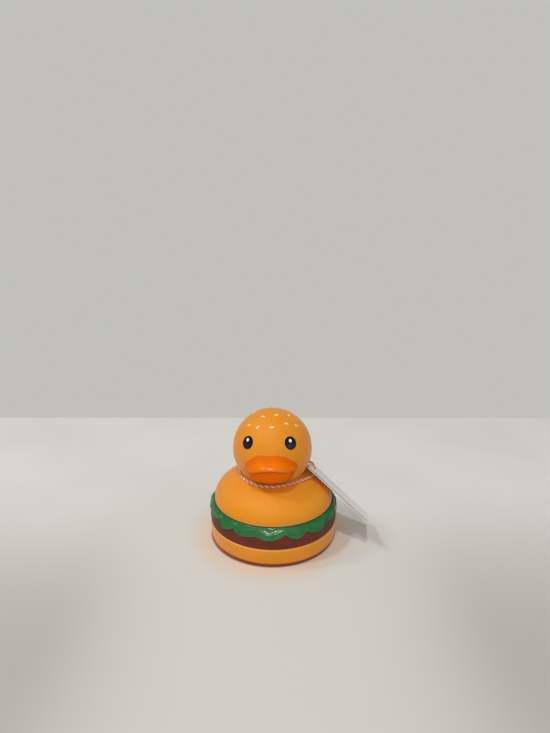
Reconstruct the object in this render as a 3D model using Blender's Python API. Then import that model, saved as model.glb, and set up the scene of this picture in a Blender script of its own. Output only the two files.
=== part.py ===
"""A rubber duck made up as a hamburger, with a thread round its neck and a folded swing tag.

The duck is one hollow vinyl moulding: bottom bun, patty, lettuce, top bun, head and bill.
The thread goes round the neck and through the tag's hole, and its two ends meet in a knot.
Metres, +Z up. The duck stands on z = 0, centred on the Z axis, and looks along -Y.
"""

from collections import namedtuple
from math import atan2, cos, hypot, pi, radians, sin, sqrt

import bmesh
import bpy
from mathutils import Matrix, Vector

# Vinyl moulding: base and bottom bun
WALL = 0.0020
FOOT_INNER_RADIUS = 0.0260
FOOT_STEP_WIDTH = 0.0016
FOOT_RECESS = 0.0008
VENT_RADIUS = 0.0015
BODY_RADIUS = 0.0400
BASE_TAPER = 0.0006
BASE_EDGE_RADIUS = 0.0024
CAVITY_CORNER_RADIUS = 0.0015
BOTTOM_BUN_HEIGHT = 0.0119
BOTTOM_BUN_WAIST = 0.0085
GROOVE_DEPTH = 0.0006
GROOVE_WIDTH = 0.0009

# Filling: the patty shows between the bottom bun and the lettuce, which hangs from the top bun's seam
FILLING_HEIGHT = 0.0137
PATTY_ROUNDING = 0.0003
LOBES = 17
LOBE_DROP = 0.0073
NOTCH_DROP = 0.0044
NOTCH_DRIFT = 0.0013
LOBE_OVERHANG = 0.0007
NOTCH_OVERHANG = 0.0001
LOBE_SHOULDER_DROP = 0.0026
NOTCH_SHOULDER_DROP = 0.0021
NOTCH_AZIMUTH = radians(9)
LEAF_FACE = (
    # share of the overhang at each share of the way from the leaf's edge up to its shoulder
    (0.50, 0.04),
    (0.85, 0.22),
    (0.90, 0.60),
)

# Top bun, neck and head
TOP_BUN_INSET = 0.0028
TOP_BUN_RISE = 0.0197
SEAM_DEPTH = 0.0006
HEAD_RADIUS = 0.0245
HEAD_SINK = 0.0112
NECK_FILLET = 0.0010

# Bill, measured from the head's centre and surface
BILL_HALF_WIDTH = 0.0162
BILL_TOP = 0.0066
BILL_BOTTOM = 0.0132
BILL_REACH = 0.0081
BILL_ROOT = 0.0020
BILL_TOP_SWEEP = 0.55
CHIN_SWEEP = 0.25
BILL_TOP_TAPER = 1.3
LOWER_BILL_TAPER = 1.4
CHIN_TAPER = 0.9
LOWER_BILL_SETBACK = 0.0017
MOUTH_DROP = 0.0020
MOUTH_CORNER_DROP = 0.0052
MOUTH_GAP = 0.0014
MOUTH_DEPTH = 0.0027
LIP_THICKNESS = 0.0028
LIP_ROUNDING = 0.0011
LIP_TURN = (radians(62), radians(-80))

# Painted eyes and sesame seeds, as low pads on the head that reach a little way into the wall
PAD_DEPTH = 0.0007
PAD_EDGE = 0.6
PAD_CROWN = 0.8
EYE_AZIMUTH = radians(35.1)
EYE_PAINT_SHIFT = radians(-3.9)
EYE_ELEVATION = radians(26.5)
EYE_HALF_WIDTH = 0.0037
EYE_HALF_HEIGHT = 0.0039
EYE_PROUD = 0.00025
GLINT_HALF_WIDTH = 0.0009
GLINT_HALF_HEIGHT = 0.0011
GLINT_LIFT = 0.0014
GLINT_PROUD = 0.00015
GLINT_DEPTH = 0.0003
SEED_HALF_LENGTH = 0.0014
SEED_HALF_WIDTH = 0.00055
SEED_PROUD = 0.00025
SEEDS = (
    # azimuth, elevation and turn of each seed in degrees
    (-56, 48, 45),
    (-31, 50, 66),
    (1, 52, 0),
    (38.5, 55, -38),
    (61, 46, -52),
    (-37, 69, 12),
    (25, 74, 4),
    (76, 65, -2),
    (-104, 63, -35),
    (108, 54, 28),
    (138, 68, -20),
    (147, 47, 60),
    (-178, 56, 10),
    (-142, 50, -50),
    (-160, 74, 30),
)

# Thread round the neck: it lies on the top bun at these azimuths and distances from the axis,
# then goes up through the tag's hole and over the tag's top edge, back to the knot
CORD_DIAMETER = 0.0012
CORD_GAP = 0.0003
CORD_SPACING = 0.0024
CORD_ROUND_NECK = (
    (radians(108), 0.0219),
    (radians(128), 0.0215),
    (radians(153), 0.0213),
    (radians(180), 0.0213),
    (radians(-154), 0.0213),
    (radians(-130), 0.0210),
    (radians(-109), 0.0206),
    (radians(-88), 0.0205),
    (radians(-61), 0.0205),
    (radians(-42), 0.0209),
    (radians(-24), 0.0212),
    (radians(-2), 0.0212),
    (radians(22), 0.0209),
    (radians(45), 0.0213),
    (radians(60), 0.0223),
    (radians(72), 0.0237),
    (radians(79), 0.0246),
)
CORD_THROUGH_TAG = (
    # down the tag from its hole, across it, and out from its lower leaf
    (0.0013, -0.0050, -0.00160),
    (0.0007, -0.0026, -0.00125),
    (0.0003, -0.0010, -0.00075),
    (0.0001, 0.0001, 0.00015),
    (-0.0004, 0.0007, 0.00115),
    (-0.0016, 0.0010, 0.00190),
    (-0.0034, 0.0010, 0.00210),
    (-0.0052, 0.0009, 0.00175),
    (-0.0064, 0.0010, 0.00080),
    (-0.0070, 0.0014, -0.00040),
)
KNOT_AZIMUTH = radians(103.5)
KNOT_DISTANCE = 0.0222
KNOT_RADIUS = 0.0012
TAIL_LENGTH = 0.0042
TAIL_RADIUS = 0.00055
TAILS = (
    # along the thread, outwards and up
    ("tail_form_a", (0.8, 0.1, 0.6)),
    ("tail_form_b", (-0.9, 0.2, -0.15)),
)

# Swing tag: a folded card that leans on the top bun beside the head
TAG_WIDTH = 0.0255
TAG_LENGTH = 0.0480
CARD_THICKNESS = 0.00035
TAG_FOLD_RADIUS = 0.00035
TAG_CORNER_RADIUS = 0.0015
TAG_OPENING_TOP = radians(0.6)
TAG_OPENING_BOTTOM = radians(0.3)
TAG_LEAF_STEP = 0.0007
TAG_HOLE_RADIUS = 0.0020
TAG_HOLE_MARGIN = 0.0045
TAG_AZIMUTH = radians(15.2)
TAG_TILT = radians(47)
TAG_ROLL = radians(-29)
TAG_SIDE_SHIFT = -0.0086
TAG_GAP = 0.0005
TAG_HEAD_GAP = 0.0006

# How finely the round forms are divided
SIDES_PER_LOBE = 6
CAVITY_SIDES = 34
BOTTOM_BUN_ROWS = 4
BILL_STEPS = 14
EYE_SIDES = 20
GLINT_SIDES = 12
SEED_SIDES = 8
HOLE_SIDES = 16
TAIL_SIDES = 8
CORNER_STEPS = 3
TAG_ROWS = 4
CURVE_STEPS = 24
HALVINGS = 60
PLAIN_SIDES = LOBES * SIDES_PER_LOBE // 2
RUFFLED_SIDES = LOBES * SIDES_PER_LOBE

# Sizes that follow from those above
SEAM_HEIGHT = BOTTOM_BUN_HEIGHT + FILLING_HEIGHT
TOP_BUN_RADIUS = BODY_RADIUS - TOP_BUN_INSET
HEAD_CENTRE = Vector((0, 0, SEAM_HEIGHT + TOP_BUN_RISE - HEAD_SINK + HEAD_RADIUS))

# One ring of the turned shape: its (radius, height) in a notch and on a lobe, its paint and its sides
Ring = namedtuple("Ring", "notch lobe paint sides")
PAINTS = ("bun", "patty", "lettuce", "bill", "eye", "glint", "seed")


def make_material(name, colour, roughness):
    """A Principled material of one colour (sRGB, 0 to 255)."""
    material = bpy.data.materials.new(name)
    material.use_nodes = True
    shader = material.node_tree.nodes["Principled BSDF"]
    linear = [((c / 255 + 0.055) / 1.055) ** 2.4 if c > 10 else c / 255 / 12.92 for c in colour]
    shader.inputs["Base Color"].default_value = (*linear, 1.0)
    shader.inputs["Roughness"].default_value = roughness
    material.diffuse_color = (*linear, 1.0)
    return material


def duck_materials():
    """The paints of the moulding, in the order of PAINTS."""
    return [
        make_material("bun_vinyl", (228, 142, 48), 0.45),
        make_material("patty_paint", (92, 50, 42), 0.45),
        make_material("lettuce_paint", (38, 104, 58), 0.25),
        make_material("bill_paint", (228, 104, 6), 0.40),
        make_material("eye_paint", (30, 24, 30), 0.20),
        make_material("eye_glint_paint", (240, 240, 244), 0.30),
        make_material("seed_paint", (246, 226, 178), 0.40),
    ]


def link_object(name, data, materials):
    """Put an object with these materials in the scene."""
    thing = bpy.data.objects.new(name, data)
    for material in materials:
        data.materials.append(material)
    bpy.context.collection.objects.link(thing)
    return thing


def mesh_object(name, bm, materials):
    """Turn an edited mesh into an object, shaded smooth apart from its sharp edges."""
    bmesh.ops.recalc_face_normals(bm, faces=bm.faces)
    mesh = bpy.data.meshes.new(name)
    bm.to_mesh(mesh)
    bm.free()
    thing = link_object(name, mesh, materials)
    mesh.shade_smooth()
    mesh.set_sharp_from_angle(angle=radians(35))
    return thing


def make_guide(thing):
    """Keep an object out of the model: it only cuts or joins another one."""
    thing.hide_render = True
    thing.display_type = "WIRE"
    return thing


def join_boolean(target, guide, operation):
    """Cut or join a guide object on its target."""
    step = target.modifiers.new(guide.name, "BOOLEAN")
    step.operation = operation
    step.solver = "EXACT"
    step.object = make_guide(guide)


def arc(centre, radii, start, end, steps):
    """Points of an elliptical arc in the (radius, height) plane, both ends included."""
    turns = [start + (end - start) * i / steps for i in range(steps + 1)]
    return [(centre[0] + radii[0] * cos(t), centre[1] + radii[1] * sin(t)) for t in turns]


def bezier(points, steps):
    """Points of a cubic curve between the first and the last of four points, both ends included."""
    a, b, c, d = (Vector(p) for p in points)
    curve = []
    for i in range(steps + 1):
        t = i / steps
        s = 1 - t
        curve.append(a * s**3 + b * 3 * s * s * t + c * 3 * s * t * t + d * t**3)
    return curve


def lobe_weight(azimuth):
    """0 in a notch of the lettuce and 1 on the middle of a lobe."""
    return abs(sin(LOBES * (azimuth - NOTCH_AZIMUTH) / 2))


def plain_rings(profile, paint, sides):
    """Rings of a round stretch, the same all the way round."""
    return [Ring(point, point, paint, sides) for point in profile]


def neck_and_head(inset, bun_steps, neck_steps, head_steps, start):
    """Profile of the top bun, the filleted neck and the head, drawn inwards by inset."""
    across = TOP_BUN_RADIUS - inset
    rise = TOP_BUN_RISE - inset
    head = HEAD_RADIUS - inset
    fillet = NECK_FILLET + inset

    def fillet_centre(t):
        normal = Vector((cos(t) / across, sin(t) / rise)).normalized()
        on_bun = Vector((across * cos(t), SEAM_HEIGHT + rise * sin(t)))
        return on_bun + normal * fillet

    low, high = 0.0, pi / 2
    for _ in range(HALVINGS):
        middle = (low + high) / 2
        centre = fillet_centre(middle)
        if hypot(centre.x, centre.y - HEAD_CENTRE.z) > head + fillet:
            low = middle
        else:
            high = middle
    centre = fillet_centre(low)
    bun_side = atan2(SEAM_HEIGHT + rise * sin(low) - centre.y, across * cos(low) - centre.x)
    head_side = atan2(HEAD_CENTRE.z - centre.y, -centre.x)
    bun_side += 2 * pi if bun_side < head_side else 0
    bun = arc((0, SEAM_HEIGHT), (across, rise), start, low, bun_steps)
    neck = arc(centre, (fillet, fillet), bun_side, head_side, neck_steps)
    first = atan2(centre.y - HEAD_CENTRE.z, centre.x)
    head_arc = arc((0, HEAD_CENTRE.z), (head, head), first, pi / 2, head_steps)
    return bun + neck[1:-1] + head_arc


def base_rings():
    """The recessed base, the flat foot and the bottom bun up to the groove under the patty."""
    foot = [(FOOT_INNER_RADIUS - FOOT_STEP_WIDTH, FOOT_RECESS), (FOOT_INNER_RADIUS, 0)]
    base_radius = BODY_RADIUS - BASE_TAPER
    edge = arc(
        (base_radius - BASE_EDGE_RADIUS, BASE_EDGE_RADIUS),
        (BASE_EDGE_RADIUS, BASE_EDGE_RADIUS),
        -pi / 2,
        0,
        4,
    )
    side_top = BOTTOM_BUN_HEIGHT - GROOVE_WIDTH / 2
    side = []
    for k in range(1, BOTTOM_BUN_ROWS + 1):
        height = BASE_EDGE_RADIUS + (side_top - BASE_EDGE_RADIUS) * k / BOTTOM_BUN_ROWS
        drop = (height - BOTTOM_BUN_WAIST) / (BOTTOM_BUN_WAIST - BASE_EDGE_RADIUS)
        side.append((BODY_RADIUS - BASE_TAPER * drop * drop, height))
    groove = [(BODY_RADIUS - PATTY_ROUNDING - GROOVE_DEPTH, BOTTOM_BUN_HEIGHT)]
    return plain_rings(foot + edge + side + groove, "bun", PLAIN_SIDES)


def patty_rings():
    """The patty's side, up to the wavy edge of the lettuce."""
    radius = BODY_RADIUS - PATTY_ROUNDING
    low = BOTTOM_BUN_HEIGHT + GROOVE_WIDTH / 2
    rings = plain_rings(
        [(radius - PATTY_ROUNDING, low), (BODY_RADIUS, low + GROOVE_WIDTH)], "patty", PLAIN_SIDES
    )
    notch = SEAM_HEIGHT - NOTCH_DROP
    lobe = SEAM_HEIGHT - LOBE_DROP
    middle = low + GROOVE_WIDTH * 2
    rings.append(
        Ring((BODY_RADIUS, (middle + notch) / 2), (BODY_RADIUS, (middle + lobe) / 2), "patty", RUFFLED_SIDES)
    )
    rings.append(Ring((radius, notch), (radius, lobe), "patty", RUFFLED_SIDES))
    return rings


def lettuce_rings():
    """The lettuce: a rolled lower edge, a hanging face and a round shoulder under the seam."""

    def profile(overhang, drop, shoulder_drop):
        lip = SEAM_HEIGHT - drop
        outer = BODY_RADIUS + overhang
        shoulder = SEAM_HEIGHT - shoulder_drop
        inner = TOP_BUN_RADIUS
        points = [(BODY_RADIUS + overhang * out, lip + (shoulder - lip) * up) for out, up in LEAF_FACE]
        round_top = SEAM_DEPTH / 4
        points += arc((inner, shoulder), (outer - inner, shoulder_drop - round_top), 0, radians(80), 4)
        points.append((inner - SEAM_DEPTH, SEAM_HEIGHT - SEAM_DEPTH))
        return points

    notch = profile(NOTCH_OVERHANG, NOTCH_DROP, NOTCH_SHOULDER_DROP)
    lobe = profile(LOBE_OVERHANG, LOBE_DROP, LOBE_SHOULDER_DROP)
    return [Ring(n, p, "lettuce", RUFFLED_SIDES) for n, p in zip(notch, lobe)]


def top_rings():
    """The top bun, the neck and the head, as far as the ring below the crown."""
    lip = [(TOP_BUN_RADIUS - SEAM_DEPTH / 2, SEAM_HEIGHT - SEAM_DEPTH / 4)]
    rise = neck_and_head(0, 7, 3, 15, radians(3))
    return plain_rings(lip + rise[:-1], "bun", PLAIN_SIDES)


def cavity_rings():
    """The hollow inside, one wall thickness within the outer skin."""
    floor = [(FOOT_INNER_RADIUS - FOOT_STEP_WIDTH, FOOT_RECESS + WALL), (FOOT_INNER_RADIUS, WALL)]
    base_radius = BODY_RADIUS - BASE_TAPER - WALL
    corner = arc(
        (base_radius - CAVITY_CORNER_RADIUS, WALL + CAVITY_CORNER_RADIUS),
        (CAVITY_CORNER_RADIUS, CAVITY_CORNER_RADIUS),
        -pi / 2,
        0,
        3,
    )
    groove_radius = BODY_RADIUS - PATTY_ROUNDING - GROOVE_DEPTH - WALL
    under_seam = SEAM_HEIGHT - SEAM_DEPTH - WALL
    side = [
        (groove_radius, BOTTOM_BUN_HEIGHT),
        (groove_radius, under_seam - TOP_BUN_INSET),
        (TOP_BUN_RADIUS - SEAM_DEPTH - WALL, under_seam),
    ]
    rise = neck_and_head(WALL, 5, 2, 9, radians(6))
    return plain_rings(floor + corner + side + rise[:-1], "bun", CAVITY_SIDES)


def ring_vertices(bm, ring):
    """The vertices of one ring, with the lettuce's notches drifting up towards +X."""
    vertices = []
    for i in range(ring.sides):
        azimuth = NOTCH_AZIMUTH + 2 * pi * i / ring.sides
        weight = lobe_weight(azimuth) if ring.notch != ring.lobe else 1.0
        radius = ring.notch[0] + (ring.lobe[0] - ring.notch[0]) * weight
        height = ring.notch[1] + (ring.lobe[1] - ring.notch[1]) * weight
        if ring.notch[1] > ring.lobe[1]:
            share = (ring.notch[1] - ring.lobe[1]) / (LOBE_DROP - NOTCH_DROP)
            height += NOTCH_DRIFT * share * (1 - weight) * sin(azimuth)
        vertices.append(bm.verts.new((radius * sin(azimuth), -radius * cos(azimuth), height)))
    return vertices


def bridge(bm, low, high, paint):
    """Faces between two rings, one of which may have twice as many sides as the other."""
    count = max(len(low), len(high))
    for i in range(count):
        a, b = (i * len(low) // count, (i + 1) * len(low) // count)
        c, d = (i * len(high) // count, (i + 1) * len(high) // count)
        loop = [low[a], low[b % len(low)], high[d % len(high)], high[c]]
        loop = [v for k, v in enumerate(loop) if v is not loop[k - 1]]
        bm.faces.new(loop).material_index = PAINTS.index(paint)


def cap(bm, ring, place, paint):
    """A fan of faces that closes a ring at a point."""
    tip = bm.verts.new(place)
    for i, vertex in enumerate(ring):
        face = bm.faces.new((vertex, ring[(i + 1) % len(ring)], tip))
        face.material_index = PAINTS.index(paint)


def turned_mesh(rings, bottom, top):
    """A closed turned shape from its rings and the heights of its two ends on the axis."""
    bm = bmesh.new()
    loops = [ring_vertices(bm, ring) for ring in rings]
    cap(bm, loops[0], (0, 0, bottom), rings[0].paint)
    for low, high, ring in zip(loops, loops[1:], rings[1:]):
        bridge(bm, low, high, ring.paint)
    cap(bm, loops[-1], (0, 0, top), rings[-1].paint)
    return bm


def bill_section():
    """Middle section of the bill as (forward, height, part) from the head's centre, top root first."""
    reach = HEAD_RADIUS + BILL_REACH
    lip_low = -MOUTH_DROP
    lip_high = lip_low + LIP_THICKNESS
    gum = lip_low - MOUTH_GAP
    top_root = sqrt(HEAD_RADIUS**2 - BILL_TOP**2) - BILL_ROOT
    chin_root = sqrt(HEAD_RADIUS**2 - BILL_BOTTOM**2) - BILL_ROOT
    top = bezier(
        [
            (top_root, BILL_TOP + BILL_ROOT / 2),
            (top_root + BILL_ROOT * 1.6, BILL_TOP - BILL_ROOT * 0.8),
            (reach - BILL_REACH * BILL_TOP_SWEEP, lip_high + BILL_ROOT * 0.6),
            (reach - LIP_ROUNDING * 1.6, lip_high + BILL_ROOT * 0.12),
        ],
        5,
    )
    lip = arc(
        (reach - LIP_ROUNDING, (lip_low + lip_high) / 2),
        (LIP_ROUNDING, LIP_THICKNESS / 2),
        *LIP_TURN,
        4,
    )
    mouth = [
        (reach - MOUTH_DEPTH * 0.85, lip_low - MOUTH_GAP * 0.12),
        (reach - MOUTH_DEPTH, lip_low - MOUTH_GAP * 0.45),
        (reach - MOUTH_DEPTH * 0.9, lip_low - MOUTH_GAP * 0.80),
    ]
    lower_reach = reach - LOWER_BILL_SETBACK
    chin = bezier(
        [
            (lower_reach - LIP_ROUNDING * 0.5, gum),
            (lower_reach + LIP_ROUNDING * 0.5, (gum - BILL_BOTTOM) / 2),
            (lower_reach - BILL_REACH * CHIN_SWEEP, -BILL_BOTTOM + BILL_ROOT * 0.8),
            (chin_root, -BILL_BOTTOM - BILL_ROOT * 0.3),
        ],
        6,
    )
    back = HEAD_RADIUS - BILL_REACH
    section = [(f, h, "top") for f, h in list(top) + lip]
    section += [(f, h, "lower") for f, h in mouth + list(chin)]
    return section + [(back, -BILL_BOTTOM, "lower"), (back, BILL_TOP, "top")]


def make_bill(materials):
    """The bill: its middle section drawn in towards each corner of the mouth."""
    section = bill_section()
    corner_height = -MOUTH_CORNER_DROP
    corner_forward = sqrt(HEAD_RADIUS**2 - BILL_HALF_WIDTH**2 - corner_height**2) - BILL_ROOT / 5
    bm = bmesh.new()
    loops = []
    for i in range(1, BILL_STEPS):
        angle = -pi / 2 + pi * i / BILL_STEPS
        share = cos(angle)
        loop = []
        for forward, height, part in section:
            forward_share = share if part == "top" else share**LOWER_BILL_TAPER
            height_share = share ** (BILL_TOP_TAPER if height > corner_height else CHIN_TAPER)
            place = Vector(
                (
                    BILL_HALF_WIDTH * sin(angle),
                    -corner_forward - (forward - corner_forward) * forward_share,
                    corner_height + (height - corner_height) * height_share,
                )
            )
            loop.append(bm.verts.new(HEAD_CENTRE + place))
        loops.append(loop)
    for low, high in zip(loops, loops[1:]):
        bridge(bm, low, high, "bill")
    for loop, side in ((loops[0], -1), (loops[-1], 1)):
        cap(bm, loop, HEAD_CENTRE + Vector((side * BILL_HALF_WIDTH, -corner_forward, corner_height)), "bill")
    return mesh_object("bill_form", bm, materials)


def add_pad(bm, azimuth, elevation, turn, half_sizes, depth, proud, sides, paint):
    """A low oval pad on the head: its side rises from under the skin to just above it."""
    out = Vector((sin(azimuth) * cos(elevation), -cos(azimuth) * cos(elevation), sin(elevation)))
    across = Vector((cos(azimuth), sin(azimuth), 0))
    up = out.cross(across) if out.cross(across).z > 0 else across.cross(out)
    long_way = across * cos(turn) + up * sin(turn)
    short_way = up * cos(turn) - across * sin(turn)
    rings = []
    for lift, share in ((-depth, 1.0), (proud * PAD_EDGE, 1.0), (proud, PAD_CROWN)):
        ring = []
        for i in range(sides):
            t = 2 * pi * i / sides
            sideways = long_way * half_sizes[0] * cos(t) + short_way * half_sizes[1] * sin(t)
            direction = (out * HEAD_RADIUS + sideways * share).normalized()
            ring.append(bm.verts.new(HEAD_CENTRE + direction * (HEAD_RADIUS + lift)))
        rings.append(ring)
    for ring in (rings[0][::-1], rings[2]):
        bm.faces.new(ring).material_index = PAINTS.index(paint)
    bridge(bm, rings[0], rings[1], paint)
    bridge(bm, rings[1], rings[2], paint)


def make_eyes(materials):
    """The two painted eyes."""
    bm = bmesh.new()
    for side in (-1, 1):
        add_pad(
            bm,
            side * EYE_AZIMUTH + EYE_PAINT_SHIFT,
            EYE_ELEVATION,
            0,
            (EYE_HALF_WIDTH, EYE_HALF_HEIGHT),
            PAD_DEPTH,
            EYE_PROUD,
            EYE_SIDES,
            "eye",
        )
    return mesh_object("eye_forms", bm, materials)


def make_glints(materials):
    """The white spot in the upper half of each eye."""
    bm = bmesh.new()
    for side in (-1, 1):
        add_pad(
            bm,
            side * EYE_AZIMUTH + EYE_PAINT_SHIFT,
            EYE_ELEVATION + GLINT_LIFT / HEAD_RADIUS,
            0,
            (GLINT_HALF_WIDTH, GLINT_HALF_HEIGHT),
            GLINT_DEPTH,
            EYE_PROUD + GLINT_PROUD,
            GLINT_SIDES,
            "glint",
        )
    return mesh_object("glint_forms", bm, materials)


def make_seeds(materials):
    """The sesame seeds, scattered over the crown."""
    bm = bmesh.new()
    for azimuth, elevation, turn in SEEDS:
        add_pad(
            bm,
            radians(azimuth),
            radians(elevation),
            radians(turn),
            (SEED_HALF_LENGTH, SEED_HALF_WIDTH),
            PAD_DEPTH,
            SEED_PROUD,
            SEED_SIDES,
            "seed",
        )
    return mesh_object("seed_forms", bm, materials)


def make_vent(materials):
    """Cutter for the vent hole in the middle of the base."""
    bm = bmesh.new()
    bmesh.ops.create_cone(
        bm,
        cap_ends=True,
        segments=HOLE_SIDES,
        radius1=VENT_RADIUS,
        radius2=VENT_RADIUS,
        depth=2 * (FOOT_RECESS + 2 * WALL),
    )
    return mesh_object("vent_cutter", bm, materials)


def make_duck():
    """The vinyl moulding: turned shape, bill and paint pads joined, then hollowed and vented."""
    materials = duck_materials()
    rings = base_rings() + patty_rings() + lettuce_rings() + top_rings()
    crown = HEAD_CENTRE.z + HEAD_RADIUS
    duck = mesh_object("duck", turned_mesh(rings, FOOT_RECESS, crown), materials)
    hollow = turned_mesh(cavity_rings(), FOOT_RECESS + WALL, crown - WALL)
    join_boolean(duck, make_bill(materials), "UNION")
    join_boolean(duck, make_eyes(materials), "UNION")
    join_boolean(duck, make_glints(materials), "UNION")
    join_boolean(duck, make_seeds(materials), "UNION")
    join_boolean(duck, mesh_object("cavity_cutter", hollow, materials), "DIFFERENCE")
    join_boolean(duck, make_vent(materials), "DIFFERENCE")
    return duck


def smooth_line(points, spacing):
    """Points at about that spacing on a smooth curve through the given ones."""
    points = [Vector(p) for p in points]
    ends = [points[0] * 2 - points[1], *points, points[-1] * 2 - points[-2]]
    fine = []
    for a, b, c, d in zip(ends, ends[1:], ends[2:], ends[3:]):
        for i in range(CURVE_STEPS):
            t = i / CURVE_STEPS
            second = (a * 2 - b * 5 + c * 4 - d) * (t * t / 2)
            third = (b * 3 - a - c * 3 + d) * (t**3 / 2)
            fine.append(b + (c - a) * (t / 2) + second + third)
    fine.append(points[-1])
    total = sum((b - a).length for a, b in zip(fine, fine[1:]))
    count = max(2, round(total / spacing))
    line = [fine[0]]
    gone = 0.0
    for a, b in zip(fine, fine[1:]):
        step = (b - a).length
        while step > 0 and gone + step >= total * len(line) / count and len(line) < count:
            line.append(a.lerp(b, (total * len(line) / count - gone) / step))
        gone += step
    line.append(fine[-1])
    return line


def above_top_bun(azimuth, distance, lift):
    """A point at that lift above the top bun, at that azimuth and distance from the axis."""
    share = distance / TOP_BUN_RADIUS
    height = TOP_BUN_RISE * sqrt(1 - share * share)
    slope = Vector((share / TOP_BUN_RADIUS, height / TOP_BUN_RISE**2)).normalized()
    reach = distance + slope.x * lift
    return Vector((reach * sin(azimuth), -reach * cos(azimuth), SEAM_HEIGHT + height + slope.y * lift))


def cord_route():
    """The thread's centre line from one end at the knot to the other."""
    lift = CORD_DIAMETER / 2 + CORD_GAP
    points = [above_top_bun(azimuth, distance, lift) for azimuth, distance in CORD_ROUND_NECK]
    start, along, across, out = tag_frame()
    hole = start + along * TAG_HOLE_MARGIN
    points += [hole + along * a + across * c + out * o for a, c, o in CORD_THROUGH_TAG]
    return smooth_line(points, CORD_SPACING)


def make_cord(material):
    """The thread as a plain tube along its route."""
    curve = bpy.data.curves.new("neck_cord", "CURVE")
    curve.dimensions = "3D"
    curve.bevel_depth = CORD_DIAMETER / 2
    curve.bevel_resolution = 2
    curve.use_fill_caps = True
    route = cord_route()
    spline = curve.splines.new("POLY")
    spline.points.add(len(route) - 1)
    for point, place in zip(spline.points, route):
        point.co = (*place, 1)
    return link_object("neck_cord", curve, [material])


def make_knot(material):
    """The knot that joins the thread's ends, with its two short tails."""
    centre = above_top_bun(KNOT_AZIMUTH, KNOT_DISTANCE, KNOT_RADIUS + CORD_GAP)
    bm = bmesh.new()
    bmesh.ops.create_icosphere(bm, subdivisions=2, radius=KNOT_RADIUS)
    knot = mesh_object("cord_knot", bm, [material])
    knot.location = centre
    outwards = Vector((centre.x, centre.y, 0)).normalized()
    along = Vector((-outwards.y, outwards.x, 0))
    for name, (forward, aside, up) in TAILS:
        direction = along * forward + outwards * aside + Vector((0, 0, up))
        bm = bmesh.new()
        bmesh.ops.create_cone(
            bm,
            cap_ends=True,
            segments=TAIL_SIDES,
            radius1=TAIL_RADIUS,
            radius2=TAIL_RADIUS,
            depth=TAIL_LENGTH,
        )
        tail = mesh_object(name, bm, [material])
        tail.rotation_mode = "QUATERNION"
        tail.rotation_quaternion = direction.to_track_quat("Z", "Y")
        tail.location = centre + direction.normalized() * TAIL_LENGTH / 2
        join_boolean(knot, tail, "UNION")
    return knot


def tag_frame():
    """Where the tag's lower leaf lies: the middle of its top end, and its three directions."""
    out = Vector((cos(TAG_TILT) * cos(TAG_AZIMUTH), cos(TAG_TILT) * sin(TAG_AZIMUTH), sin(TAG_TILT)))
    down = Vector((sin(TAG_TILT) * cos(TAG_AZIMUTH), sin(TAG_TILT) * sin(TAG_AZIMUTH), -cos(TAG_TILT)))
    level = down.cross(out) if down.cross(out).y > 0 else out.cross(down)
    along = down * cos(TAG_ROLL) + level * sin(TAG_ROLL)
    across = level * cos(TAG_ROLL) - down * sin(TAG_ROLL)
    flat = hypot(out.x, out.y)
    on_bun = SEAM_HEIGHT * out.z + hypot(TOP_BUN_RADIUS * flat, TOP_BUN_RISE * out.z)
    shoulder = SEAM_HEIGHT - LOBE_SHOULDER_DROP
    leaf_reach = hypot(BODY_RADIUS + LOBE_OVERHANG - TOP_BUN_RADIUS, LOBE_SHOULDER_DROP * out.z / flat)
    on_lettuce = shoulder * out.z + (TOP_BUN_RADIUS + leaf_reach) * flat
    rest = max(on_bun, on_lettuce) + TAG_GAP + CARD_THICKNESS / 2
    start = out * rest + across * TAG_SIDE_SHIFT
    corner = start - across * TAG_WIDTH / 2 + out * (TAG_FOLD_RADIUS + CARD_THICKNESS / 2)
    to_corner = corner - HEAD_CENTRE
    ahead = to_corner.dot(along)
    beside = to_corner.length_squared - ahead * ahead
    start += along * (sqrt(max((HEAD_RADIUS + TAG_HEAD_GAP) ** 2 - beside, 0)) - ahead)
    return start, along, across, out


def tag_section(opening):
    """Midline across the tag, from one leaf's free edge round the fold to the other's."""
    half = TAG_WIDTH / 2
    fold = half - TAG_FOLD_RADIUS
    lower = [(-half, 0), (-half + TAG_CORNER_RADIUS, 0), (0, 0), (fold, 0)]
    turn = arc((fold, TAG_FOLD_RADIUS), (TAG_FOLD_RADIUS,) * 2, -pi / 2, pi / 2 - opening, 5)
    last = turn[-1]
    reach = TAG_WIDTH - TAG_FOLD_RADIUS - TAG_LEAF_STEP
    upper = []
    for share in (0.5, 1 - TAG_CORNER_RADIUS / reach, 1.0):
        upper.append((last[0] - reach * share * cos(opening), last[1] + reach * share * sin(opening)))
    return lower + turn[1:] + upper


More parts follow.
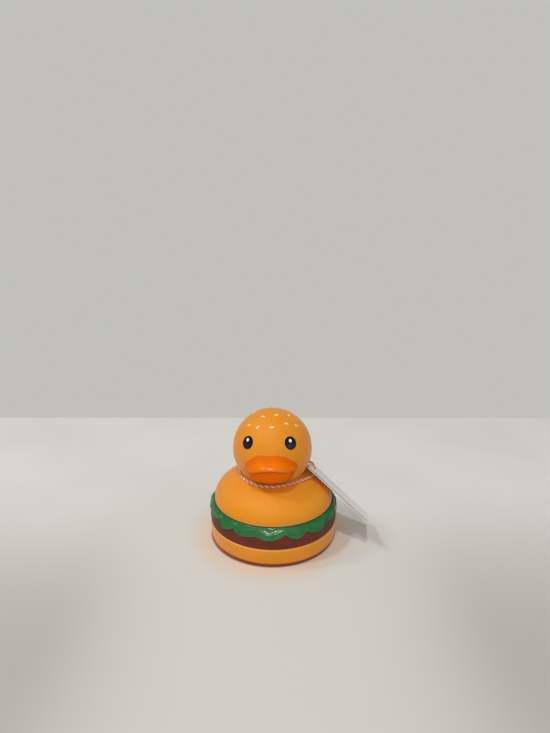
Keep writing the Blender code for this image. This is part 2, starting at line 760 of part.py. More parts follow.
def make_tag(material):
    """The folded card: two leaves, a soft fold at the back, rounded free corners and a punched hole."""
    start, along, across, out = tag_frame()
    ends = [TAG_CORNER_RADIUS * (1 - cos(pi / 2 * k / CORNER_STEPS)) for k in range(CORNER_STEPS + 1)]
    middle = [TAG_LENGTH * k / TAG_ROWS for k in range(1, TAG_ROWS)]
    stations = ends + middle + [TAG_LENGTH - e for e in reversed(ends)]
    bm = bmesh.new()
    rows = []
    for station in stations:
        share = station / TAG_LENGTH
        section = tag_section(TAG_OPENING_TOP + (TAG_OPENING_BOTTOM - TAG_OPENING_TOP) * share)
        from_end = min(station, TAG_LENGTH - station, TAG_CORNER_RADIUS)
        trim = TAG_CORNER_RADIUS - sqrt(TAG_CORNER_RADIUS**2 - (TAG_CORNER_RADIUS - from_end) ** 2)
        section[0] = (section[0][0] + trim, section[0][1])
        inwards = (Vector(section[-2]) - Vector(section[-1])).normalized()
        section[-1] = tuple(Vector(section[-1]) + inwards * trim)
        row = [bm.verts.new(start + along * station + across * v + out * n) for v, n in section]
        rows.append(row)
    for row, following in zip(rows, rows[1:]):
        for i in range(len(row) - 1):
            bm.faces.new((row[i], row[i + 1], following[i + 1], following[i]))
    tag = mesh_object("swing_tag", bm, [material])
    card = tag.modifiers.new("card", "SOLIDIFY")
    card.thickness = CARD_THICKNESS
    card.offset = 0
    card.use_even_offset = True
    bm = bmesh.new()
    bmesh.ops.create_cone(
        bm,
        cap_ends=True,
        segments=HOLE_SIDES,
        radius1=TAG_HOLE_RADIUS,
        radius2=TAG_HOLE_RADIUS,
        depth=TAG_WIDTH / 2,
    )
    punch = mesh_object("hole_punch", bm, [material])
    turn = Matrix((along, across, along.cross(across))).transposed().to_4x4()
    punch.matrix_world = Matrix.Translation(start + along * TAG_HOLE_MARGIN) @ turn
    join_boolean(tag, punch, "DIFFERENCE")
    return tag


def main():
    for thing in list(bpy.data.objects):
        bpy.data.objects.remove(thing, do_unlink=True)
    make_duck()
    thread = make_material("twisted_thread", (226, 170, 150), 0.8)
    make_cord(thread)
    make_knot(thread)
    make_tag(make_material("white_card", (228, 226, 224), 0.5))


main()
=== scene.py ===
"""A rubber duck made up as a hamburger, with a twisted thread and a folded card round its neck.

Metres, +Z up. The duck stands on z = 0, centred on the Z axis, and looks along -Y.
"""

import math
import random

import bmesh
import bpy
import numpy as np
from mathutils import Matrix, Vector


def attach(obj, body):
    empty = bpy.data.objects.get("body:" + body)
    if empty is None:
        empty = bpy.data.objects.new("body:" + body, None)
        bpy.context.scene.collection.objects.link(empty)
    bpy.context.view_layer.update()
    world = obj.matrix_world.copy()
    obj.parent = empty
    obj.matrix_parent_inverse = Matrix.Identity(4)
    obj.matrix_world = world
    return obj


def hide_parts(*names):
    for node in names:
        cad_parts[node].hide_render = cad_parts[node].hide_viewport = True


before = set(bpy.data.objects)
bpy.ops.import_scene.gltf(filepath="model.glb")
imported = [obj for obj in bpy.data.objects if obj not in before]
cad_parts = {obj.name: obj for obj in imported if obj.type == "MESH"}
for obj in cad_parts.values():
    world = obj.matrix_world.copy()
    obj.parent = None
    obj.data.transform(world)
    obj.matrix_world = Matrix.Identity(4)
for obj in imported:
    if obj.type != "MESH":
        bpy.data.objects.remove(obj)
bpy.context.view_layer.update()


# Camera
# It stands a third of a metre in front of the duck and looks down on it, as in the photograph.
# The picture is 550 by 733, so the 24 mm of the sensor are the picture's height.
SENSOR_HEIGHT = 24.0
LENS_IN_PICTURE_HEIGHTS = 551 / 733
CAMERA_TURN = math.radians(1.5)
CAMERA_DROP = math.radians(16.3)
CAMERA_PLACE = Vector((0.0016, -0.3155, 0.2031))
NEAREST_SEEN = 0.01


def add_object(name, data):
    """An object in the scene that shows that mesh, camera or lamp."""
    thing = bpy.data.objects.new(name, data)
    bpy.context.scene.collection.objects.link(thing)
    return thing


camera = add_object("camera", bpy.data.cameras.new("camera"))
camera.data.sensor_width = SENSOR_HEIGHT
camera.data.lens = SENSOR_HEIGHT * LENS_IN_PICTURE_HEIGHTS
camera.data.clip_start = NEAREST_SEEN
camera.matrix_world = (
    Matrix.Rotation(CAMERA_TURN, 4, "Z")
    @ Matrix.Translation(CAMERA_PLACE)
    @ Matrix.Rotation(math.pi / 2 - CAMERA_DROP, 4, "X")
)
bpy.context.scene.camera = camera


# Neck thread
# Two cotton plies twisted together, one off-white and one salmon pink, so that it looks speckled.
# It lies on the top bun round the neck, goes up through the card's hole and comes back to the knot.
MM = 0.001
CORD_DIAMETER = 1.2 * MM
CORD_LIFT = CORD_DIAMETER / 2 + 0.3 * MM
ROUTE_SPACING = 2.4 * MM
CURVE_STEPS = 24
PLY_RADIUS = 0.47 * MM
PLY_OFFSET = 0.38 * MM
PLY_TWIST = 3.4 * MM
PLY_STEP = 0.25 * MM
PLY_SIDES = 10
STRAND_TIP = 0.4
FIBRE_LAY = 1.3 * MM
FIBRES_ROUND_PLY = 5
LOOSE_FIBRES = 130
FIBRE_RADIUS = 0.045 * MM
FIBRE_STEP = 0.2 * MM
FIBRE_BEND = 0.2 * MM
FIBRE_REACH = (2.0 * PLY_RADIUS, 3.0 * PLY_RADIUS)
# the top bun that the thread lies on
SEAM_HEIGHT = 25.6 * MM
TOP_BUN_RADIUS = 37.2 * MM
TOP_BUN_RISE = 19.7 * MM
# azimuth in degrees and distance from the axis in mm, on the top bun
ROUND_NECK = (
    (108, 21.9),
    (128, 21.5),
    (153, 21.3),
    (180, 21.3),
    (-154, 21.3),
    (-130, 21.0),
    (-109, 20.6),
    (-88, 20.5),
    (-61, 20.5),
    (-42, 20.9),
    (-24, 21.2),
    (-2, 21.2),
    (22, 20.9),
    (45, 21.3),
    (60, 22.3),
    (72, 23.7),
    (79, 24.6),
)
# down the card from its hole, across it, and out from its lower leaf, in mm
THROUGH_CARD = (
    (1.3, -5.0, -1.60),
    (0.7, -2.6, -1.25),
    (0.3, -1.0, -0.75),
    (0.1, 0.1, 0.15),
    (-0.4, 0.7, 1.15),
    (-1.6, 1.0, 1.90),
    (-3.4, 1.0, 2.10),
    (-5.2, 0.9, 1.75),
    (-6.4, 1.0, 0.80),
    (-7.0, 1.4, -0.40),
)
# the card's lower leaf: the middle of its top end, and how it lies
CARD_START = Vector((23.02, 3.85, 44.76)) * MM
CARD_AZIMUTH = math.radians(15.2)
CARD_TILT = math.radians(47)
CARD_ROLL = math.radians(-29)
HOLE_MARGIN = 4.5 * MM
card_out = Vector((math.cos(CARD_AZIMUTH), math.sin(CARD_AZIMUTH), math.tan(CARD_TILT))).normalized()
card_level = Vector((-math.sin(CARD_AZIMUTH), math.cos(CARD_AZIMUTH), 0))
card_down = card_level.cross(card_out)
card_along = card_down * math.cos(CARD_ROLL) + card_level * math.sin(CARD_ROLL)
card_across = card_level * math.cos(CARD_ROLL) - card_down * math.sin(CARD_ROLL)
card_hole = CARD_START + card_along * HOLE_MARGIN


class Value:
    """A number that changes over a surface: a sum written on it adds its Math nodes."""

    def __init__(self, finish, socket):
        self.finish = finish
        self.socket = socket

    def math(self, operation, *values):
        return self.finish.node("ShaderNodeMath", {"operation": operation}, values)

    def __add__(self, other):
        return self.math("ADD", self, other)

    def __sub__(self, other):
        return self.math("SUBTRACT", self, other)

    def __rsub__(self, other):
        return self.math("SUBTRACT", other, self)

    def __mul__(self, other):
        return self.math("MULTIPLY", self, other)

    __radd__ = __add__
    __rmul__ = __mul__

    def sine(self):
        return self.math("SINE", self)

    def rise(self, low, high):
        """0 below low and 1 above high, with a smooth rise between them."""
        settings = {"interpolation_type": "SMOOTHSTEP"}
        return self.finish.node("ShaderNodeMapRange", settings, (self, low, high))


class Finish:
    """A material, or the room's light, with the shader that its nodes feed."""

    def __init__(self, name, constants, kept_in=bpy.data.materials, shader="Principled BSDF"):
        self.owner = kept_in.new(name)
        self.owner.use_nodes = True
        self.tree = self.owner.node_tree
        self.shader = self.tree.nodes[shader]
        for socket, value in constants.items():
            self.shader.inputs[socket].default_value = value

    def node(self, kind, settings, values=(), output=0):
        """Any node: its settings first, then the values or links of its sockets."""
        made = self.tree.nodes.new(kind)
        for name, value in settings.items():
            setattr(made, name, value)
        for key, value in values.items() if isinstance(values, dict) else enumerate(values):
            if isinstance(value, Value):
                self.tree.links.new(value.socket, made.inputs[key])
            else:
                made.inputs[key].default_value = value
        return Value(self, made.outputs[output])

    def attribute(self, name):
        """A number that the mesh carries at its points or corners."""
        settings = {"attribute_name": name, "attribute_type": "GEOMETRY"}
        return self.node("ShaderNodeAttribute", settings, output="Fac")

    def place(self):
        """Where the surface lies on its piece, in metres."""
        return self.node("ShaderNodeTexCoord", {}, output="Object")

    def along(self, axis):
        """How far the surface lies along its piece's X, Y or Z axis, in metres."""
        return self.node("ShaderNodeSeparateXYZ", {}, (self.place(),), output=axis)

    def noise(self, size, detail=2.0, stretch=(1, 1, 1)):
        """Smooth noise around 0.5 with features of about that size, in metres."""
        place = self.node("ShaderNodeVectorMath", {"operation": "MULTIPLY"}, (self.place(), stretch))
        return self.node("ShaderNodeTexNoise", {}, {"Vector": place, "Scale": 1 / size, "Detail": detail})

    def mix(self, share, first, second):
        """One colour going over into another."""
        settings = {"data_type": "RGBA", "blend_type": "MIX", "clamp_factor": True}
        return self.node("ShaderNodeMix", settings, {0: share, 6: first, 7: second}, output=2)

    def feed(self, socket, value):
        """Let a value change the shader's socket over the surface."""
        self.tree.links.new(value.socket, self.shader.inputs[socket])

    def bump(self, height, distance):
        """Relief that is too fine for the mesh, of that height in metres."""
        values = {"Strength": 1.0, "Distance": distance, "Height": height}
        self.feed("Normal", self.node("ShaderNodeBump", {}, values))


def colour(red, green, blue):
    """A colour as it is mixed for paint, 0 to 255, for a shader socket."""
    parts = [c / 255 for c in (red, green, blue)]
    return (*(((c + 0.055) / 1.055) ** 2.4 if c > 0.04045 else c / 12.92 for c in parts), 1.0)


def link_mesh(mesh, materials):
    """A smooth object of that mesh in the scene, under its name, riding on the duck."""
    thing = add_object(mesh.name, mesh)
    for material in materials:
        mesh.materials.append(material)
    mesh.shade_smooth()
    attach(thing, "root")
    return thing


def lengths_along(path):
    """How far each point of a path lies from its start, along it."""
    return np.concatenate([[0], np.cumsum(np.linalg.norm(np.diff(path, axis=0), axis=1))])


def smooth_line(points, spacing):
    """Points at about that spacing on a smooth curve through the given ones."""
    points = [Vector(p) for p in points]
    ends = [points[0] * 2 - points[1], *points, points[-1] * 2 - points[-2]]
    fine = []
    for a, b, c, d in zip(ends, ends[1:], ends[2:], ends[3:]):
        for i in range(CURVE_STEPS):
            t = i / CURVE_STEPS
            second = (a * 2 - b * 5 + c * 4 - d) * (t * t / 2)
            third = (b * 3 - a - c * 3 + d) * (t**3 / 2)
            fine.append(b + (c - a) * (t / 2) + second + third)
    fine.append(points[-1])
    fine = np.array(fine)
    gone = lengths_along(fine)
    stations = np.linspace(0, gone[-1], max(2, round(gone[-1] / spacing)) + 1)
    return np.stack([np.interp(stations, gone, fine[:, k]) for k in range(3)], axis=1)


def above_top_bun(azimuth, distance, lift):
    """A point at that lift above the top bun, at that azimuth and distance from the axis."""
    share = distance / TOP_BUN_RADIUS
    height = TOP_BUN_RISE * math.sqrt(1 - share * share)
    slope = Vector((share / TOP_BUN_RADIUS, height / TOP_BUN_RISE**2)).normalized()
    reach = distance + slope.x * lift
    level = SEAM_HEIGHT + height + slope.y * lift
    return Vector((reach * math.sin(azimuth), -reach * math.cos(azimuth), level))


def carried_axes(path):
    """Directions along a path, and two directions across it that turn no more than the path does."""
    ahead = np.gradient(path, axis=0)
    ahead /= np.linalg.norm(ahead, axis=1)[:, None]
    side = np.cross(ahead[0], (0.3, 0.2, 0.9))
    sides = []
    for direction in ahead:
        side = side - direction * side.dot(direction)
        side = side / np.linalg.norm(side)
        sides.append(side)
    sides = np.array(sides)
    return ahead, sides, np.cross(ahead, sides)


def close_ring(bm, ring, tip):
    """Faces from a ring of points to the one point that closes it."""
    for point, following in zip(ring, ring[1:] + ring[:1]):
        bm.faces.new((point, following, tip))


def add_strand(bm, path, radius, sides, ply=0):
    """A closed round strand; its corners carry how far its fibres have wound round it, and its ply."""
    fibre = bm.loops.layers.float.get("fibre") or bm.loops.layers.float.new("fibre")
    which = bm.loops.layers.float.get("ply") or bm.loops.layers.float.new("ply")
    ahead, side, up = carried_axes(path)
    gone = lengths_along(path)
    rings = []
    for k, centre in enumerate(path):
        ring = []
        for i in range(sides):
            turn = 2 * math.pi * i / sides
            offset = side[k] * math.cos(turn) + up[k] * math.sin(turn)
            ring.append(bm.verts.new(centre + offset * radius))
        rings.append(ring)
    for k in range(len(path) - 1):
        for i in range(sides):
            j = (i + 1) % sides
            face = bm.faces.new((rings[k][i], rings[k][j], rings[k + 1][j], rings[k + 1][i]))
            for loop, row, column in zip(face.loops, (k, k, k + 1, k + 1), (i, i + 1, i + 1, i)):
                loop[fibre] = gone[row] / FIBRE_LAY + column / sides
                loop[which] = ply
    for ring, end, step in ((rings[0], path[0], -ahead[0]), (rings[-1], path[-1], ahead[-1])):
        close_ring(bm, ring, bm.verts.new(end + step * radius * STRAND_TIP))


def add_twist(bm, path):
    """Two plies twisted round a path."""
    fine = smooth_line(path, PLY_STEP)
    _, side, up = carried_axes(fine)
    for ply in (0, 1):
        turn = (np.arange(len(fine)) * 2 * math.pi * PLY_STEP / PLY_TWIST + ply * math.pi)[:, None]
        winding = (np.cos(turn) * side + np.sin(turn) * up) * PLY_OFFSET
        add_strand(bm, fine + winding, PLY_RADIUS, PLY_SIDES, ply)
    return fine


def any_way():
    """A short step to any side, drawn at random."""
    return Vector([chance.uniform(-1, 1) for _ in range(3)])


def add_fibre(bm, root, middle, reach, step, sides):
    """A loose fibre that stands off a ply: its root, and its middle and end as seen from there."""
    add_strand(bm, smooth_line([root, root + middle, root + reach], step), FIBRE_RADIUS, sides)


def finished_mesh(name, bm):
    """The edited mesh with its faces turned outwards."""
    bmesh.ops.recalc_face_normals(bm, faces=bm.faces)
    mesh = bpy.data.meshes.new(name)
    bm.to_mesh(mesh)
    bm.free()
    return mesh


def thread_finish():
    """Cotton: fine fibres wound round each ply, with painted highlight on their crowns, a little dusty."""
    constants = {"Specular IOR Level": 0.25, "Sheen Weight": 0.3, "Sheen Roughness": 0.5}
    thread = Finish("twisted_cotton", constants)
    fibre = (thread.attribute("fibre") * (2 * math.pi * FIBRES_ROUND_PLY)).sine() * 0.5 + 0.5
    patches = thread.noise(3.2 * MM)
    # painted highlight: each ply is paler where its wound fibres stand highest
    white = thread.mix(fibre, colour(236, 182, 144), colour(252, 216, 184))
    pink = thread.mix(fibre, colour(206, 98, 74), colour(240, 148, 118))
    shade = thread.mix(thread.attribute("ply"), white, pink)
    shade = thread.mix(patches.rise(0.45, 0.75) * 0.45, shade, colour(224, 124, 92))
    thread.feed("Base Color", shade)
    thread.feed("Roughness", 0.62 + patches * 0.3)
    thread.bump(fibre + thread.noise(0.12 * MM) * 0.6, 0.05 * MM)
    return thread.owner


route = [above_top_bun(math.radians(a), d * MM, CORD_LIFT) for a, d in ROUND_NECK]
for down, aside, out in THROUGH_CARD:
    route.append(card_hole + (card_along * down + card_across * aside + card_out * out) * MM)
route = smooth_line(route, ROUTE_SPACING)
thread_bm = bmesh.new()
thread_line = add_twist(thread_bm, route)
chance = random.Random(7)
for _ in range(LOOSE_FIBRES):
    root = Vector(thread_line[chance.randrange(4, len(thread_line) - 4)])
    heading = Vector([chance.uniform(-1, 1), chance.uniform(-1, 1), chance.uniform(-0.4, 1)]).normalized()
    bend = any_way() * FIBRE_BEND
    reach = heading * chance.uniform(*FIBRE_REACH)
    add_fibre(thread_bm, root, reach * 0.6 + bend, reach, FIBRE_STEP, 4)
twisted_cotton = thread_finish()
neck_thread = link_mesh(finished_mesh("neck_thread", thread_bm), [twisted_cotton])
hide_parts("neck_cord")


# Knot in the thread
# An overhand knot that joins the thread's two ends behind the neck's right side.
# Its two short tails come untwisted, with fine loose fibres at their ends.
KNOT_AZIMUTH = math.radians(103.5)
KNOT_DISTANCE = 22.2 * MM
KNOT_RADIUS = 1.2 * MM
KNOT_LIFT = KNOT_RADIUS + 0.3 * MM
KNOT_STRAND = 0.42 * MM
KNOT_STEPS = 72
KNOT_DEPTH = 1.2
TAIL_LENGTH = 3.6 * MM
TAIL_SAG = 0.25 * MM
# how far each tail heads round the neck, outwards and up
TAIL_HEADINGS = ((0.8, 0.1, 0.6), (-0.9, 0.2, -0.15))
FIBRES_PER_TAIL = 9
TAIL_FIBRE_LENGTH = 1.1 * MM
TAIL_FIBRE_BEND = 0.15 * MM
TAIL_FIBRE_ROOT = 0.3 * MM

knot_centre = above_top_bun(KNOT_AZIMUTH, KNOT_DISTANCE, KNOT_LIFT)
knot_out = Vector((knot_centre.x, knot_centre.y, 0)).normalized()
knot_along = Vector((-knot_out.y, knot_out.x, 0))
knot_up = Vector((0, 0, 1))
knot_bm = bmesh.new()
turns = np.linspace(0, 2 * math.pi, KNOT_STEPS)
loops = np.stack(
    [
        np.sin(turns) + 2 * np.sin(2 * turns),
        np.cos(turns) - 2 * np.cos(2 * turns),
        -KNOT_DEPTH * np.sin(3 * turns),
    ],
    axis=1,
)
loops *= (KNOT_RADIUS - KNOT_STRAND) / 3
knot_axes = np.array([knot_along, knot_up, knot_out])
add_strand(knot_bm, np.array(knot_centre) + loops @ knot_axes, KNOT_STRAND, PLY_SIDES)
for along, out, up in TAIL_HEADINGS:
    heading = (knot_along * along + knot_out * out + knot_up * up).normalized()
    points = []
    for share in (0.1, 0.4, 0.7, 1.0):
        points.append(knot_centre + heading * TAIL_LENGTH * share - knot_up * TAIL_SAG * share**2)
    tail = add_twist(knot_bm, points)
    for _ in range(FIBRES_PER_TAIL):
        spread = any_way()
        root = Vector(tail[-1]) + spread * PLY_OFFSET * 0.8 - heading * TAIL_FIBRE_ROOT
        reach = (heading * chance.uniform(0.6, 1.1) + spread * 0.35) * TAIL_FIBRE_LENGTH
        bend = any_way() * TAIL_FIBRE_BEND
        add_fibre(knot_bm, root, reach * 0.5 + bend, reach, TAIL_FIBRE_LENGTH / 5, 5)
thread_knot = link_mesh(finished_mesh("thread_knot", knot_bm), [twisted_cotton])
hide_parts("cord_knot")


# Folded card
# A swing tag of white card, folded once along its back edge and punched near its top.
# It hangs on the thread and leans on the top bun and the lettuce; it is left blank.
CARD_WIDTH = 25.5 * MM
CARD_LENGTH = 48.0 * MM
CARD_THICKNESS = 0.35 * MM
FOLD_RADIUS = 0.28 * MM
CORNER_RADIUS = 1.5 * MM
OPENING_TOP = math.radians(0.6)
OPENING_BOTTOM = math.radians(0.3)
LEAF_STEP_TOP = 2.2 * MM
LEAF_STEP_BOTTOM = 0.5 * MM
HOLE_RADIUS = 2.0 * MM
CARD_CURL = 0.25 * MM
UPPER_LEAF_CURL = 1.6
CARD_ROWS = 56
CLOSER_AT_ENDS = 0.65
LEAF_COLUMNS = 26
FOLD_COLUMNS = 8
PUNCH_SIDES = 48
PUNCH_DEPTH = 12 * MM
CARD_EDGE_ANGLE = math.radians(40)


def card_section(opening, curl, step):
    """Line across the card, from the lower leaf's free edge round the fold to the upper leaf's."""
    half = CARD_WIDTH / 2
    fold = half - FOLD_RADIUS
    line = []
    for k in range(LEAF_COLUMNS):
        share = k / (LEAF_COLUMNS - 1)
        line.append((-half + (half + fold) * share, curl * (1 - share) ** 3))
    for k in range(1, FOLD_COLUMNS + 1):
        turn = -math.pi / 2 + (math.pi - opening) * k / FOLD_COLUMNS
        line.append((fold + FOLD_RADIUS * math.cos(turn), FOLD_RADIUS * (1 + math.sin(turn))))
    last = line.pop()
    reach = CARD_WIDTH - FOLD_RADIUS - step
    for k in range(LEAF_COLUMNS):
        share = k / (LEAF_COLUMNS - 1)
        out = last[1] + reach * share * math.sin(opening) + UPPER_LEAF_CURL * curl * share**3
        line.append((last[0] - reach * share * math.cos(opening), out))
    return line


def card_sheet():
    """The card before it gets its thickness, with rounded free corners."""
    bm = bmesh.new()
    rows = []
    for k in range(CARD_ROWS):
        even = k / (CARD_ROWS - 1)
        share = 0.5 - 0.5 * math.cos(math.pi * even)
        station = CARD_LENGTH * (CLOSER_AT_ENDS * share + (1 - CLOSER_AT_ENDS) * even)
        opening = OPENING_TOP + (OPENING_BOTTOM - OPENING_TOP) * share
        curl = CARD_CURL * (station / CARD_LENGTH) ** 2
        from_end = min(station, CARD_LENGTH - station, CORNER_RADIUS)
        trim = CORNER_RADIUS - math.sqrt(CORNER_RADIUS**2 - (CORNER_RADIUS - from_end) ** 2)
        step = LEAF_STEP_TOP + (LEAF_STEP_BOTTOM - LEAF_STEP_TOP) * station / CARD_LENGTH
        squeeze = 1 - trim / CARD_WIDTH
        fold = CARD_WIDTH / 2
        row = []
        for across, out in card_section(opening, curl, step):
            place = card_across * (fold + (across - fold) * squeeze) + card_out * out
            row.append(bm.verts.new(CARD_START + card_along * station + place))
        rows.append(row)
    for row, following in zip(rows, rows[1:]):
        for i in range(len(row) - 1):
            bm.faces.new((row[i], row[i + 1], following[i + 1], following[i]))
    return finished_mesh("folded_card", bm)


def card_finish():
    """Coated white card: faint fibre and blotches, greyer where the cut edge shows its core."""
    card = Finish("white_card", {"Specular IOR Level": 0.4, "Coat Weight": 0.1, "Coat Roughness": 0.3})
    blotch = card.noise(9 * MM, 3.0)
    fibre = card.noise(0.35 * MM, 3.0, (1, 2.2, 1))
    shade = card.mix(blotch.rise(0.35, 0.7), colour(246, 244, 241), colour(238, 237, 236))
    shade = card.mix(fibre.rise(0.5, 0.8) * 0.25, shade, colour(222, 219, 216))
    card.feed("Base Color", shade)
    card.feed("Roughness", 0.42 + fibre * 0.2)
    card.bump(fibre + blotch * 0.5, 0.03 * MM)
    return card.owner


def card_edge_finish():
    """The cut edge: bare grey board between the two coated faces."""
    edge = Finish("card_edge", {"Specular IOR Level": 0.2})
    grain = edge.noise(0.2 * MM, 3.0)
    edge.feed("Base Color", edge.mix(grain, colour(214, 211, 207), colour(230, 228, 224)))
    edge.feed("Roughness", 0.7 + grain * 0.2)
    return edge.owner


folded_card = link_mesh(card_sheet(), [card_finish(), card_edge_finish()])
board = folded_card.modifiers.new("board", "SOLIDIFY")
board.thickness = CARD_THICKNESS
board.offset = 0
board.material_offset_rim = 1
punch_bm = bmesh.new()
bmesh.ops.create_cone(
    punch_bm, cap_ends=True, segments=PUNCH_SIDES, radius1=HOLE_RADIUS, radius2=HOLE_RADIUS, depth=PUNCH_DEPTH
)
punch_turn = Matrix((card_along, card_across, card_along.cross(card_across))).transposed().to_4x4()
bmesh.ops.transform(punch_bm, matrix=Matrix.Translation(card_hole) @ punch_turn, verts=punch_bm.verts)
punch = add_object("punch", finished_mesh("punch", punch_bm))
cut = folded_card.modifiers.new("hole", "BOOLEAN")
cut.operation = "DIFFERENCE"
cut.solver = "EXACT"
cut.object = punch
evaluated = folded_card.evaluated_get(bpy.context.evaluated_depsgraph_get())
cut_mesh = bpy.data.meshes.new_from_object(evaluated)
folded_card.modifiers.clear()
folded_card.data = cut_mesh
cut_mesh.set_sharp_from_angle(angle=CARD_EDGE_ANGLE)
bpy.data.objects.remove(punch)
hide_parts("swing_tag")


# Duck's skin
# One hollow moulding of soft orange vinyl: the recessed base, the bottom bun, the patty, the lettuce,
# the top bun and the head with its bill. It is turned row by row from the base up, in mm, and the paint
# changes at a row.
SIDES = 400
BUN, PATTY, LETTUCE, BILL = 0, 1, 2, 3
# the foot, with the vent in its recess; each rounding is so wide and so high
VENT_RADIUS = 1.5
FOOT_RECESS = 0.8
RECESS_RADIUS = 24.0
FOOT_INNER_RADIUS = 26.0
FOOT_ROUND = (1.1, 0.4)
BASE_RADIUS = 39.4
BASE_EDGE = 2.4
BODY_RADIUS = 40.0
BODY_OFFSET = 0.6
OFFSET_ENDS = 12
# the bottom bun and the groove between it and the patty
BUN_WAIST = 8.5
BUN_EDGE_RADIUS = 39.45
SMALL_ROUND = (0.35, 0.35)
GROOVE_HEIGHT = 11.9
BUN_TOP = GROOVE_HEIGHT - 0.75
GROOVE_RADIUS = 39.15
GROOVE_ROUND = (0.55, 0.55)
# the patty's side, which is tucked in behind the leaves
PATTY_EDGE_RADIUS = 39.35
PATTY_FOOT = GROOVE_HEIGHT + 0.8
PATTY_SINK = 0.03
PATTY_SWELL = 0.05
PATTY_TUCK = 0.25
# the leaves: their rolled rim, the fold that slants across each, and the shoulder under the seam
LEAF_ROUNDNESS = 0.75
FRILLS = 53
FRILL_DEPTH = 0.12
FINE_FRILLS = 88
FINE_FRILL_DEPTH = 0.08
TIP_FLARE = 0.2
RIM = 0.32
RIM_PROUD = 0.12
RIM_FADES = 0.5
FOLD_START = 1.5
FOLD_SLANT = 1.3
SHORT_LEAF = 5.2
FOLD_PROUD = 0.55
FOLD_WIDTH = 0.62
FACE_ROWS = 18
FACE_BELLY = 0.30
SHOULDER_RADIUS = 38.5
SHOULDER_HANG = 1.15
SHOULDER_END = 0.3
SHOULDER_TURN = 84
SHOULDER_ROWS = 7
# the top bun and the head
SEAM = SEAM_HEIGHT / MM
BUN_ACROSS = TOP_BUN_RADIUS / MM
BUN_RISE = TOP_BUN_RISE / MM
BUN_LIP = (0.42, 0.42)
BUN_ROWS = 34
HEAD_RADIUS = 24.5
HEAD_CENTRE = 58.6
NECK_REACH = 3
NECK_PASSES = 5
HALVINGS = 50
# each leaf of the lettuce: where it parts from the one before and how far its edge hangs there below
# the seam, where its middle is and how far that hangs, in degrees and mm, and how far it lies in front
LEAVES = (
    (-75.5, 3.2, -66, 5.6, 0.05),
    (-52.5, 2.4, -46, 7.0, 0.40),
    (-34.5, 3.6, -27, 6.9, 0.15),
    (-12.5, 5.2, -2, 7.3, 0.40),
    (11.5, 3.5, 22, 7.4, 0.20),
    (30, 3.8, 45.5, 7.2, 0.40),
    (51.5, 2.6, 64, 5.5, 0.05),
    (73, 3.8, 84, 6.7, 0.15),
    (94.5, 3.6, 105, 7.0, 0.35),
    (115.5, 4.4, 126, 6.9, 0.10),
    (136, 3.4, 148, 7.3, 0.40),
    (158, 3.9, 169, 6.6, 0.15),
    (179.5, 3.5, 189.5, 7.2, 0.40),
    (201, 4.2, 212, 6.9, 0.10),
    (222.5, 3.3, 233, 7.1, 0.35),
    (243.5, 4.3, 254.5, 7.2, 0.15),
    (264.5, 3.5, 275, 6.9, 0.30),
)

azimuths = np.arange(SIDES) * 2 * math.pi / SIDES
rows = []


def add_row(radius, height, paint):
    """One row of points round the duck, in mm; its paint is that of the faces below it."""
    rows.append((np.full(SIDES, radius, float), np.full(SIDES, height, float), paint))


def add_arc(centre, radii, start, end, steps, paint):
    """Rows along an elliptical arc in the (radius, height) plane, both ends included."""
    for k in range(steps + 1):
        turn = math.radians(start + (end - start) * k / steps)
        add_row(centre[0] + radii[0] * math.cos(turn), centre[1] + radii[1] * math.sin(turn), paint)


# the vent opens into the dark hollow inside, of which only the part near it is made
for radius, height in (
    (0.02, 12.0),
    (6.0, 12.0),
    (7.0, 9.0),
    (6.0, 3.2),
    (VENT_RADIUS + 0.2, 2.9),
    (VENT_RADIUS, 2.7),
    (VENT_RADIUS, FOOT_RECESS + 0.15),
    (VENT_RADIUS + 0.15, FOOT_RECESS),
    (4.0, FOOT_RECESS),
    (14.0, FOOT_RECESS),
    (23.6, FOOT_RECESS),
):
    add_row(radius, height, BUN)
add_arc((RECESS_RADIUS, FOOT_RECESS - SMALL_ROUND[1]), SMALL_ROUND, 90, 10, 3, BUN)
add_arc((FOOT_INNER_RADIUS, FOOT_ROUND[1]), FOOT_ROUND, 190, 270, 4, BUN)
add_arc((BASE_RADIUS - BASE_EDGE, BASE_EDGE), (BASE_EDGE, BASE_EDGE), -90, 0, 12, BUN)
for share in np.linspace(0.12, 1.0, 9):
    height = BASE_EDGE + (BUN_TOP - BASE_EDGE) * share
    drop = (height - BUN_WAIST) / (BUN_WAIST - BASE_EDGE)
    add_row(BODY_RADIUS - (BODY_RADIUS - BASE_RADIUS) * drop * drop, height, BUN)
add_arc((BUN_EDGE_RADIUS, GROOVE_HEIGHT - 0.55), SMALL_ROUND, 10, 85, 3, BUN)
add_row(GROOVE_RADIUS, GROOVE_HEIGHT - 0.05, BUN)
add_arc((PATTY_EDGE_RADIUS, GROOVE_HEIGHT + 0.6), GROOVE_ROUND, 250, 350, 4, PATTY)

# the leaf edges: hang is how far the edge lies below the seam, tip is 0 where leaves part and 1 mid-leaf
degrees = np.degrees(azimuths)
degrees = np.where(degrees > LEAVES[0][0] + 360, degrees - 360, degrees)
knots = [(a, h) for leaf in LEAVES for a, h in (leaf[:2], leaf[2:4])]
knots.append((LEAVES[0][0] + 360, LEAVES[0][1]))
knot_places = np.array([a for a, _ in knots])
knot_hangs = np.array([h for _, h in knots])
index = np.clip(np.searchsorted(knot_places, degrees, side="right") - 1, 0, len(knots) - 2)
to_middle = index % 2 == 0
share = (degrees - knot_places[index]) / (knot_places[index + 1] - knot_places[index])
share = np.where(to_middle, share, 1 - share)
tip = np.sin(share * math.pi / 2) ** LEAF_ROUNDNESS
parting_hang = np.where(to_middle, knot_hangs[index], knot_hangs[index + 1])
middle_hang = np.where(to_middle, knot_hangs[index + 1], knot_hangs[index])
in_front_of = np.array([leaf[4] for leaf in LEAVES])[index // 2]
